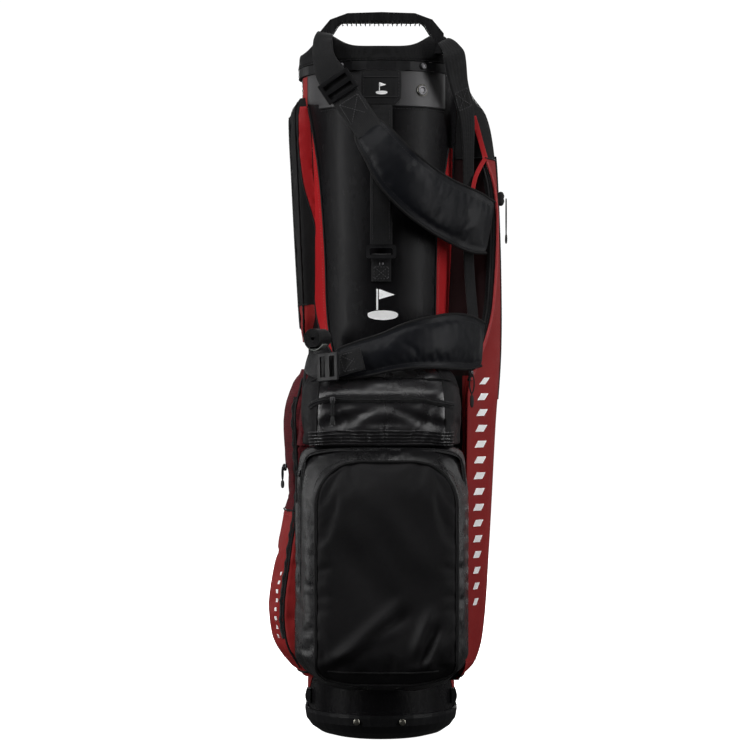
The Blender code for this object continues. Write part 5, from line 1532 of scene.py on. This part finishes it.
def webbing(name, stations, count, replaced):
    """Woven band along stations of (point, width, thickness, normal)."""
    rows = eased(stations, count)
    path = [r[0] for r in rows]
    normals = [r[3] for r in rows]
    piece = ribbon(name, path, normals, lambda t: rows[min(count - 1, round(t * (count - 1)))][1], THIN,
                   MAT["webbing"], 8)
    belong(piece, "bag", "webbing", replaced)


def make_upper_strap():
    """Webbing from the handle's left foot, and the upper shoulder pad."""
    stations = [((-0.0700, -0.0935, 0.8930), 0.020, THIN, (-0.1, -0.9, 0.6)),
                ((-0.0720, -0.0985, 0.8890), 0.022, THIN, (-0.2, -0.9, 0.5)),
                ((-0.0735, -0.1030, 0.8800), 0.025, THIN, (-0.3, -0.9, 0.3)),
                ((-0.0720, -0.1115, 0.8600), 0.028, THIN, (-0.3, -0.9, 0.1)),
                ((-0.0640, -0.1175, 0.8390), 0.036, THIN, (-0.2, -1, 0)),
                ((-0.0420, -0.1215, 0.8060), 0.036, THIN, (-0.1, -1, 0)),
                ((-0.0240, -0.1290, 0.7800), 0.035, THIN, (0, -1, 0)),
                ((-0.0140, -0.1385, 0.7640), 0.033, THIN, (0, -1, 0))]
    webbing("upper_strap_webbing", stations, 70, ["upper_webbing"])
    box_stitch("upper_strap_box", (-0.0330, -0.1262, 0.7930), (0.52, -0.12, -0.84), (-0.05, -1, 0.1), 0.030,
               0.027)
    stations = [((-0.0180, -0.1325, 0.7705), 0.034, 0.003, (0, -1, 0)),
                ((-0.0115, -0.1385, 0.7610), 0.043, 0.007, (0, -1, 0)),
                ((0.0020, -0.1440, 0.7420), 0.050, 0.011, (0.02, -1, 0)),
                ((0.0210, -0.1460, 0.7160), 0.060, 0.011, (0.05, -1, 0)),
                ((0.0500, -0.1340, 0.6900), 0.067, 0.011, (0.22, -1, 0)),
                ((0.0780, -0.1100, 0.6730), 0.072, 0.011, (0.45, -1, 0)),
                ((0.1040, -0.0850, 0.6620), 0.075, 0.010, (0.45, -1, 0)),
                ((0.1230, -0.0720, 0.6540), 0.074, 0.008, (0.40, -1, 0)),
                ((0.1395, -0.0620, 0.6500), 0.066, 0.004, (0.40, -1, 0))]
    padded_strap("upper_pad", stations, ["upper_shoulder_pad"], 0.005)


def make_lower_strap():
    """Lower shoulder pad and the webbing that its tri-glide holds."""
    stations = [((-0.0570, -0.1465, 0.4760), 0.030, 0.004, (-0.1, -1, 0.15)),
                ((-0.0500, -0.1480, 0.4765), 0.037, 0.008, (-0.1, -1, 0.15)),
                ((-0.0220, -0.1500, 0.4830), 0.044, 0.010, (0, -1, 0.1)),
                ((0.0080, -0.1490, 0.4910), 0.047, 0.011, (0.05, -1, 0.1)),
                ((0.0370, -0.1440, 0.4990), 0.056, 0.011, (0.15, -1, 0.05)),
                ((0.0650, -0.1330, 0.5030), 0.063, 0.011, (0.3, -1, 0)),
                ((0.0900, -0.1160, 0.5045), 0.068, 0.010, (0.5, -1, 0)),
                ((0.1120, -0.0950, 0.5030), 0.066, 0.008, (0.55, -1, 0)),
                ((0.1290, -0.0770, 0.5010), 0.054, 0.004, (0.55, -1, 0))]
    padded_strap("lower_pad", stations, ["lower_shoulder_pad"], 0.009)
    stations = [((-0.0930, -0.0960, 0.4800), 0.024, THIN, (-0.8, -0.6, 0.1)),
                ((-0.0900, -0.1100, 0.4770), 0.026, THIN, (-0.6, -0.8, 0.1)),
                ((-0.0820, -0.1290, 0.4740), 0.028, THIN, (-0.3, -1, 0.1)),
                ((-0.0700, -0.1440, 0.4730), 0.028, THIN, (-0.2, -1, 0.12)),
                ((-0.0570, -0.1535, 0.4735), 0.028, THIN, (-0.15, -1, 0.15)),
                ((-0.0400, -0.1570, 0.4785), 0.028, THIN, (-0.05, -1, 0.15)),
                ((-0.0230, -0.1590, 0.4830), 0.028, THIN, (0.0, -1, 0.1))]
    webbing("lower_strap_webbing", stations, 60, ["lower_webbing"])
    box_stitch("lower_strap_box", (-0.0360, -0.1578, 0.4797), (1.0, 0.0, 0.28), (-0.05, -1, 0.12), 0.026,
               0.021)


def make_right_webbing():
    """Strap from the handle's right foot down the front edge of the right pocket."""
    stations = [((0.0780, -0.0940, 0.8830), 0.016, THIN, (0.1, -0.9, 0.6)),
                ((0.0820, -0.0985, 0.8800), 0.020, THIN, (0.2, -0.9, 0.5)),
                ((0.0880, -0.1015, 0.8720), 0.025, THIN, (0.3, -0.9, 0.3)),
                ((0.0920, -0.1020, 0.8620), 0.030, THIN, (0.4, -0.9, 0)),
                ((0.0980, -0.0880, 0.8300), 0.028, THIN, (0.5, -0.85, 0)),
                ((0.1080, -0.0680, 0.7950), 0.022, THIN, (0.4, -0.9, 0)),
                ((0.1110, -0.0610, 0.7500), 0.015, THIN, (0.3, -0.9, 0)),
                ((0.1110, -0.0590, 0.6800), 0.013, THIN, (0.3, -1, 0)),
                ((0.1120, -0.0600, 0.6000), 0.013, THIN, (0.3, -1, 0)),
                ((0.1170, -0.0660, 0.5350), 0.013, THIN, (0.3, -1, 0))]
    webbing("right_strap_webbing", stations, 110, ["right_webbing"])
    box_stitch("right_strap_box", (0.1035, -0.0790, 0.8110), (0.28, 0.40, -1.0), (0.5, -0.85, 0), 0.024,
               0.020)


def make_strap_roll():
    """Spare strap end rolled up, kept by a pale hook-and-loop band."""
    centre = Vector((-0.0790, -0.1180, 0.5080))
    axis = Vector((-0.5, -0.85, 0.0)).normalized()
    side = Vector((0.85, -0.5, 0.0)).normalized()
    up = Vector((0, 0, 1))
    turns = 4.6
    path, normals = [], []
    for k in range(150):
        share = k / 149
        angle = 2 * math.pi * turns * share + 0.6
        out = side * math.cos(angle) + up * math.sin(angle)
        path.append(centre + out * (0.0022 + 0.0102 * share))
        normals.append(out)
    roll = ribbon("rolled_strap", path, normals, 0.026, 0.0015, MAT["webbing"], 6)
    belong(roll, "bag", "webbing", ["strap_roll"])
    path, normals = [], []
    for angle in spread(math.radians(175), math.radians(330), 30):
        out = side * math.cos(angle) + up * math.sin(angle)
        path.append(centre + axis * 0.004 + out * 0.0146)
        normals.append(out)
    belong(ribbon("hook_band", path, normals, 0.011, 0.0014, MAT["hook"], 6), "bag", "webbing")
    tail = [(-0.0850, -0.1080, 0.4960), (-0.0905, -0.1010, 0.4860), (-0.0950, -0.0900, 0.4700),
            (-0.0975, -0.0850, 0.4500), (-0.0985, -0.0860, 0.4150)]
    outward = [(-0.75, -0.65, 0.1)] * 60
    belong(ribbon("roll_tail_strap", spline(tail, 60), outward, 0.0050, 0.0012, MAT["webbing"], 5), "bag",
           "webbing")


def make_grab_handle():
    """Padded grip, its stitched tab, and the rows of stitching that hold them."""
    arc = [(0.7995, 0.1100), (0.7850, 0.1130), (0.7600, 0.1180), (0.7150, 0.1240), (0.6700, 0.1225),
           (0.6430, 0.1160), (0.6262, 0.1120)]
    stations = [((0.0, -depth, z), 0.0262, 0.0050, (0, -1, 0)) for z, depth in arc]
    rows = eased(stations, 60)
    path, normals = [r[0] for r in rows], [r[3] for r in rows]
    grip = ribbon("grab_grip", path, normals, 0.0262, 0.0042, MAT["webbing"], 10, crown=0.0009, rolled=0.0008)
    belong(grip, "bag", "pad_fabric", ["grab_handle_grip"])
    frames = path_frames(path, normals)
    for sign, side in SIDES:
        line = [point + across * (sign * 0.0104) + out * 0.0026 for point, across, out in frames[2:-2]]
        sewn("grab_grip_stitches_" + side, line, normals[2:-2], "thread", "webbing", 0.0034, 0.0024)
    heights = spread(0.5800, 0.6140, 20)
    points = [front_point(0.0, z, 0.0018) - Vector((0, 0.0040 * smoothstep(0.606, 0.614, z), 0))
              for z in heights]
    tab = ribbon("grab_tab", points, [Vector((0, -1, 0))] * 20, 0.0240, 0.0030, MAT["webbing"], 8)
    belong(tab, "bag", "webbing", ["grab_handle_tab"])
    box_stitch("grab_tab_box", front_point(0.0, 0.5905, 0.0034), (0, 0, 1), (0, -1, 0), 0.0150, 0.0180,
               0.0002)


# Zip sliders and pulls -----------------------------------------------------------------------------
ZIPS = {"ball_zip": (-0.96, -0.27), "accessory_zip": (0.0, -1.0), "right_zip": (0.25, -0.97),
        "left_zip": (-0.70, -0.71), "side_zip": (1.0, 0.0)}
SLIDER_HALF = (0.0033, 0.0016, 0.0047)    # half a slider body: across, out and along its zip


def centre_of(node):
    """Middle of a CAD node's box."""
    low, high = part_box(node)
    return (Vector(low) + Vector(high)) / 2


def squarish(value, power):
    """A sine or cosine pushed out towards 1, for a ring with flat sides."""
    return math.copysign(abs(value) ** power, value)


def squarish_ring(middle, across, out, half, steps, power):
    """Ring of points round a middle, with half its width and half its height."""
    turns = [2 * math.pi * k / steps for k in range(steps)]
    return [middle + across * (squarish(math.cos(a), power) * half[0])
            + out * (squarish(math.sin(a), power) * half[1]) for a in turns]


def make_slider(name, place, out, across):
    """Slider body with a tapered nose, side flanges and the bridge that the pull hangs from."""
    down = Vector((0, 0, -1))
    rows = []
    for t, wide, tall in ((-1.0, 0.55, 0.5), (-0.8, 0.95, 0.9), (-0.2, 1.0, 1.0), (0.4, 0.82, 1.0),
                          (0.85, 0.7, 0.9), (1.0, 0.5, 0.5)):
        half = (SLIDER_HALF[0] * wide, SLIDER_HALF[1] * tall)
        rows.append(squarish_ring(place + down * (t * SLIDER_HALF[2]), across, out, half, 16, 0.5))
    piece = grid(name + "_slider_body", rows, MAT["dark_steel"], wrap=True, caps=True)
    subdivide(piece)
    belong(piece, name.replace("_zip", "_slider"), "steel", [name + "_slider"])
    arch = [place + out * (0.0012 + 0.0030 * math.sin(a)) - down * (0.0036 * math.cos(a))
            for a in spread(0.0, math.pi, 16)]
    bridge = tube(name + "_bridge", arch, 0.0006, MAT["dark_steel"], 8)
    belong(bridge, name.replace("_zip", "_slider"), "steel")


def make_pull(name, hinge, out, across, length):
    """Cord loop through the slider's bridge, and the moulded grip at its end."""
    down = Vector((0, 0, -1))
    body = name.replace("_zip", "_pull")
    side = name == "side_zip"
    grip_length = 0.013 if side else 0.36 * length
    neck = length - grip_length
    spread_at = 0.0030 if name in ("side_zip", "right_zip") else 0.0012
    loop = []
    for sign in (-1, 1):
        strand = []
        for t in spread(0.02, 1.0, 24):
            bow = math.sin(math.pi * min(1.0, t * 1.15)) ** 0.6
            strand.append(hinge + across * (sign * spread_at * bow) + down * (neck * t))
        loop += strand[::-1] if sign < 0 else [hinge - down * 0.0006] + strand
    cord = tube(name + "_pull_cord", resample(loop, 80), 0.0009, MAT["cord"], 8)
    belong(cord, body, "black_fabric")
    rows = []
    wide = 0.0050 if side else 0.0026
    for t in spread(0.0, 1.0, 14):
        swell = 0.72 + 0.28 * math.sin(math.pi * t) + 0.06 * math.sin(t * 30.0)
        cap = math.sqrt(max(0.02, 1 - (2 * t - 1) ** 8))
        middle = hinge + down * (neck - 0.002 + (grip_length + 0.0004) * t)
        rows.append(squarish_ring(middle, across, out, (wide * swell * cap, 0.0016 * swell * cap), 18, 0.7))
    grip = grid(name + "_pull_grip", rows, MAT["rubber"], wrap=True, caps=True)
    subdivide(grip)
    belong(grip, body, "black_plastic", [name + "_pull"])


def make_side_tab(place, out, across):
    """Moulded weather tab round the side zip's slider."""
    rows = []
    for t in spread(-1.0, 1.0, 14):
        cap = math.sqrt(max(0.05, 1 - abs(t) ** 6))
        half = (0.0060 * cap, 0.0045 * cap * (1 - 0.12 * math.cos(9 * t)))
        rows.append(squarish_ring(place + Vector((0, 0, -0.0095 * t)), across, out, half, 20, 0.6))
    piece = grid("side_zip_tab", rows, MAT["rubber"], wrap=True, caps=True)
    subdivide(piece)
    belong(piece, "side_slider", "black_plastic", ["side_zip_slider"])


def make_zip_hardware():
    """All sliders and pulls, each on its own moving body."""
    for name, (x, y) in ZIPS.items():
        out = Vector((x, y, 0.0)).normalized()
        across = out.cross(Vector((0, 0, -1)))
        place = centre_of(name + "_slider")
        low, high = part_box(name + "_pull")
        length = high[2] - low[2] - 0.0016
        middle = (Vector(low) + Vector(high)) / 2
        hinge = Vector((middle.x, middle.y, high[2] - 0.0016))
        if name == "side_zip":
            make_side_tab(place, out, across)
        else:
            make_slider(name, place, out, across)
        make_pull(name, hinge, out, across, length)


# Printed and moulded trim --------------------------------------------------------------------------
def inlay(name, outline, depth_of, thick):
    """Printed shape of (x, z) points laid on the front, following depth_of(x, z)."""
    body = bmesh.new()
    flat = [body.verts.new((x, 0.0, z)) for x, z in outline]
    body.faces.new(flat)
    bmesh.ops.triangulate(body, faces=body.faces[:])
    bmesh.ops.subdivide_edges(body, edges=body.edges[:], cuts=3, use_grid_fill=True)
    for vertex in body.verts:
        vertex.co.y = -depth_of(vertex.co.x, vertex.co.z) - thick
    top = bmesh.ops.extrude_face_region(body, geom=body.faces[:])
    moved = [item for item in top["geom"] if isinstance(item, bmesh.types.BMVert)]
    bmesh.ops.translate(body, vec=(0.0, thick, 0.0), verts=moved)
    belong(make_piece(name, body, MAT["print"]), "bag", "rubber")


def barrel_depth(x, z, offset=0.0):
    """Distance from the XZ plane to the barrel's surface at x."""
    return -front_point(x, z, offset).y


def pennant(centre, size):
    """Outlines of a generic flag on a green: a pole, a pennant, and the green's curve."""
    x, z = centre
    pole = [(x - 0.34 * size, z - 0.50 * size), (x - 0.25 * size, z - 0.50 * size),
            (x - 0.25 * size, z + 0.60 * size), (x - 0.34 * size, z + 0.60 * size)]
    flag = [(x - 0.20 * size, z + 0.60 * size), (x - 0.20 * size, z + 0.06 * size),
            (x + 0.62 * size, z + 0.30 * size)]
    low = [(x + size * 0.80 * math.cos(a), z - size * (0.78 - 0.24 * math.sin(a)))
           for a in spread(math.pi, 2 * math.pi, 13)]
    high = [(x + size * 0.80 * math.cos(a), z - size * (0.72 - 0.20 * math.sin(a)))
            for a in spread(0.0, math.pi, 13)]
    return pole, flag, low[1:-1] + high


def make_emblems():
    """Generic pennant on the patch and on the front panel."""
    for place, centre, size, offset in (("patch", (0.0005, 0.8235), 0.0092, 0.0027),
                                         ("panel", (0.0020, 0.5560), 0.0240, 0.0)):
        for part, outline in zip(("pole", "flag", "green"), pennant(centre, size)):
            inlay("%s_pennant_%s" % (place, part), outline, lambda x, z: barrel_depth(x, z, offset), 0.0005)


def make_patch_seams():
    """Stitched border and the two seams across the rubber patch."""
    border = [(-0.0220, 0.8425), (-0.0220, 0.8105), (-0.0150, 0.8032), (0.0150, 0.8032), (0.0220, 0.8105),
              (0.0220, 0.8425)]
    for k, (a, b) in enumerate(zip(border, border[1:])):
        count = max(6, int(4 * math.dist(a, b) / 0.0034))
        path = [front_point(blend((a[0], b[0]), t), blend((a[1], b[1]), t), 0.0029)
                for t in spread(0, 1, count)]
        sewn("patch_stitches_%d" % k, path, [barrel_normal(p) for p in path])
    for k, z in enumerate((0.8362, 0.8110)):
        path = [front_point(x, z, 0.0028) for x in spread(-0.0215, 0.0215, 30)]
        piped("patch_ridge_%d" % k, path, 0.0007, [barrel_normal(p) for p in path], key="patch",
              slot="rubber")


def make_fastener_details():
    """Cross slots on the cuff screws and the ring and cap of the press stud."""
    for node in ("cuff_screw_left", "cuff_screw_right"):
        place = centre_of(node)
        lean = Vector((place.x / CUFF_HALF[0] ** 2, place.y / CUFF_HALF[1] ** 2, 0.0)).normalized()
        across = lean.cross(Vector((0, 0, 1)))
        for k, direction in enumerate((across, Vector((0, 0, 1)))):
            path = [place + lean * 0.00125 + direction * t for t in spread(-0.0026, 0.0026, 8)]
            belong(ribbon("%s_slot_%d" % (node, k), path, [lean] * 8, 0.0009, 0.0006, MAT["rubber"], 4),
                   "bag", "black_plastic")
    place = centre_of("press_stud")
    lean = barrel_normal(place)
    across = lean.cross(Vector((0, 0, 1)))
    for radius, size in ((0.0068, 0.0007), (0.0040, 0.0006)):
        path = [place + lean * 0.0008 + (across * math.cos(a) + Vector((0, 0, 1)) * math.sin(a)) * radius
                for a in spread(0.0, 2 * math.pi, 40)]
        piped("press_stud_ring_%d" % round(radius * 10000), path, size, [lean] * 40, key="aged_steel",
              slot="steel")


def slanted_bars(name, piece, count, first_row, bars, pitch, column, reach, slant):
    """Plain slanted bars printed down a pocket, longer in the middle of the run."""
    for k in range(bars):
        base = first_row + k * pitch
        half = reach * (0.55 + 0.45 * math.sin(math.pi * (k + 0.5) / bars))
        rows_of = spread(base, base + 0.42 * pitch, 5)
        patch = surface_patch(piece, count, rows_of,
                              lambda r: [c + slant * (r - base)
                                         for c in spread(column - half, column + half, 7)])
        belong(sewn_patch("%s_%d" % (name, k), patch, 0.0005, MAT["print"]), "bag", "red_fabric")


# Back of the bag -----------------------------------------------------------------------------------
PAD_LOW, PAD_HIGH = 0.4600, 0.7000
PAD_CHANNELS = 5


def rear_point(x, z, offset=0.0):
    """Point on the back of the barrel at x, raised by offset."""
    return front_point(x, z, offset, 1)


def hip_pad_half(z):
    """Half the hip pad's width at height z."""
    share = (z - 0.5 * (PAD_LOW + PAD_HIGH)) / (0.5 * (PAD_HIGH - PAD_LOW))
    return 0.0400 * math.sqrt(1 - 0.25 * share ** 6)


def make_hip_pad():
    """Spacer-mesh hip pad, quilted across in channels, with a bound edge."""
    count, columns = 61, 17
    loops, held = [], []
    for i, z in enumerate(spread(PAD_LOW, PAD_HIGH, count)):
        share = i / (count - 1)
        end = 1 - 0.60 * abs(2 * share - 1) ** 6
        quilt = 0.50 + 0.50 * abs(math.sin(math.pi * PAD_CHANNELS * share)) ** 0.5
        half = hip_pad_half(z)
        shares = spread(-1.0, 1.0, columns)
        outer = [rear_point(u * half, z, 0.0010 + 0.0125 * end * quilt * (1 - 0.72 * abs(u) ** 4))
                 for u in shares]
        inner = [rear_point(u * half, z, 0.0008) for u in reversed(shares)]
        loops.append(outer + inner)
        seam = i * PAD_CHANNELS % (count - 1) == 0
        row = range(2 * columns) if seam else [0, 1, columns - 2,
                                               columns - 1] + list(range(columns, 2 * columns))
        held += [i * 2 * columns + j for j in row]
    piece = grid("quilted_hip_pad", loops, MAT["mesh"], wrap=True, caps=True)
    inflate(piece, held, pressure=3.0, slack=0.010, out_cap=0.0020, in_cap=0.0010, stiffness=10.0,
            bending=0.1)
    subdivide(piece)
    belong(piece, "bag", "pad_fabric", ["hip_pad"])
    for sign, side in SIDES:
        edge = [rear_point(sign * hip_pad_half(z), z, 0.0030) for z in spread(PAD_LOW, PAD_HIGH, 50)]
        piped("hip_pad_binding_" + side, edge, 0.0019)
    for z, side in ((PAD_LOW, "bottom"), (PAD_HIGH, "top")):
        half = hip_pad_half(z)
        edge = [rear_point(x, z, 0.0035) for x in spread(-half, half, 30)]
        piped("hip_pad_binding_" + side, edge, 0.0019)
    for k in range(1, PAD_CHANNELS):
        z = blend((PAD_LOW, PAD_HIGH), k / PAD_CHANNELS)
        half = hip_pad_half(z) - 0.004
        line = [rear_point(x, z, 0.0076) for x in spread(-half, half, 34)]
        sewn("hip_pad_stitches_%d" % k, line, [barrel_normal(p) for p in line])


def make_back_seams():
    """Piped seams and top-stitching down the back panel."""
    for degrees, side in ((122.0, "left"), (58.0, "right")):
        path = [barrel_point(z, degrees, 0.0004) for z in spread(0.0620, 0.7900, 90)]
        normals = [barrel_normal(p) for p in path]
        piped("back_piping_" + side, path, 0.0012, normals)
        for turn, row in ((-3.2, "a"), (3.2, "b")):
            line = [barrel_point(z, degrees + turn, 0.0002) for z in spread(0.0620, 0.7900, 90)]
            sewn("back_stitches_%s_%s" % (side, row), line, normals)


for make in (make_stage, make_barrel, make_front_panels, make_red_corners, make_collar, make_curtains,
             make_right_pocket, make_left_lower_pocket, make_left_upper_pocket, make_mesh_gusset,
             make_accessory_pocket, make_ball_pocket, make_upper_strap, make_lower_strap,
             make_right_webbing, make_strap_roll, make_grab_handle, make_zip_hardware, make_emblems,
             make_patch_seams, make_fastener_details, make_hip_pad, make_back_seams):
    make()


# Carried-over pieces -------------------------------------------------------------------------------
CARRIED = {
    "plastic": ["divider_frame", "grab_handle_loop", "leg_bracket", "leg_head_left", "leg_head_right",
                "rod_clip_left", "rod_clip_right", "rod_yoke", "stay_rod_left", "stay_rod_right",
                "upper_triglide", "lower_triglide", "top_cuff", "base_flap"],
    "boot": ["base_boot"],
    "shiny": ["lift_handle"],
    "patch": ["rubber_patch"],
    "rubber": ["leg_foot_left", "leg_foot_right"],
    "leg": ["leg_tube_left", "leg_tube_right"],
    "steel": ["leg_pin_left", "leg_pin_right", "rod_left", "rod_right", "flap_pin"],
    "aged_steel": ["base_rivet_left", "base_rivet_right"],
    "dark_steel": ["cuff_screw_left", "cuff_screw_right", "press_stud", "grab_tab_rivet"],
}


def finish_carried():
    """Better materials on the CAD pieces that keep their own shape."""
    for key, names in CARRIED.items():
        for name in names:
            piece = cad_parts[name]
            for slot in piece.material_slots:
                slot.material = MAT[key]


finish_carried()
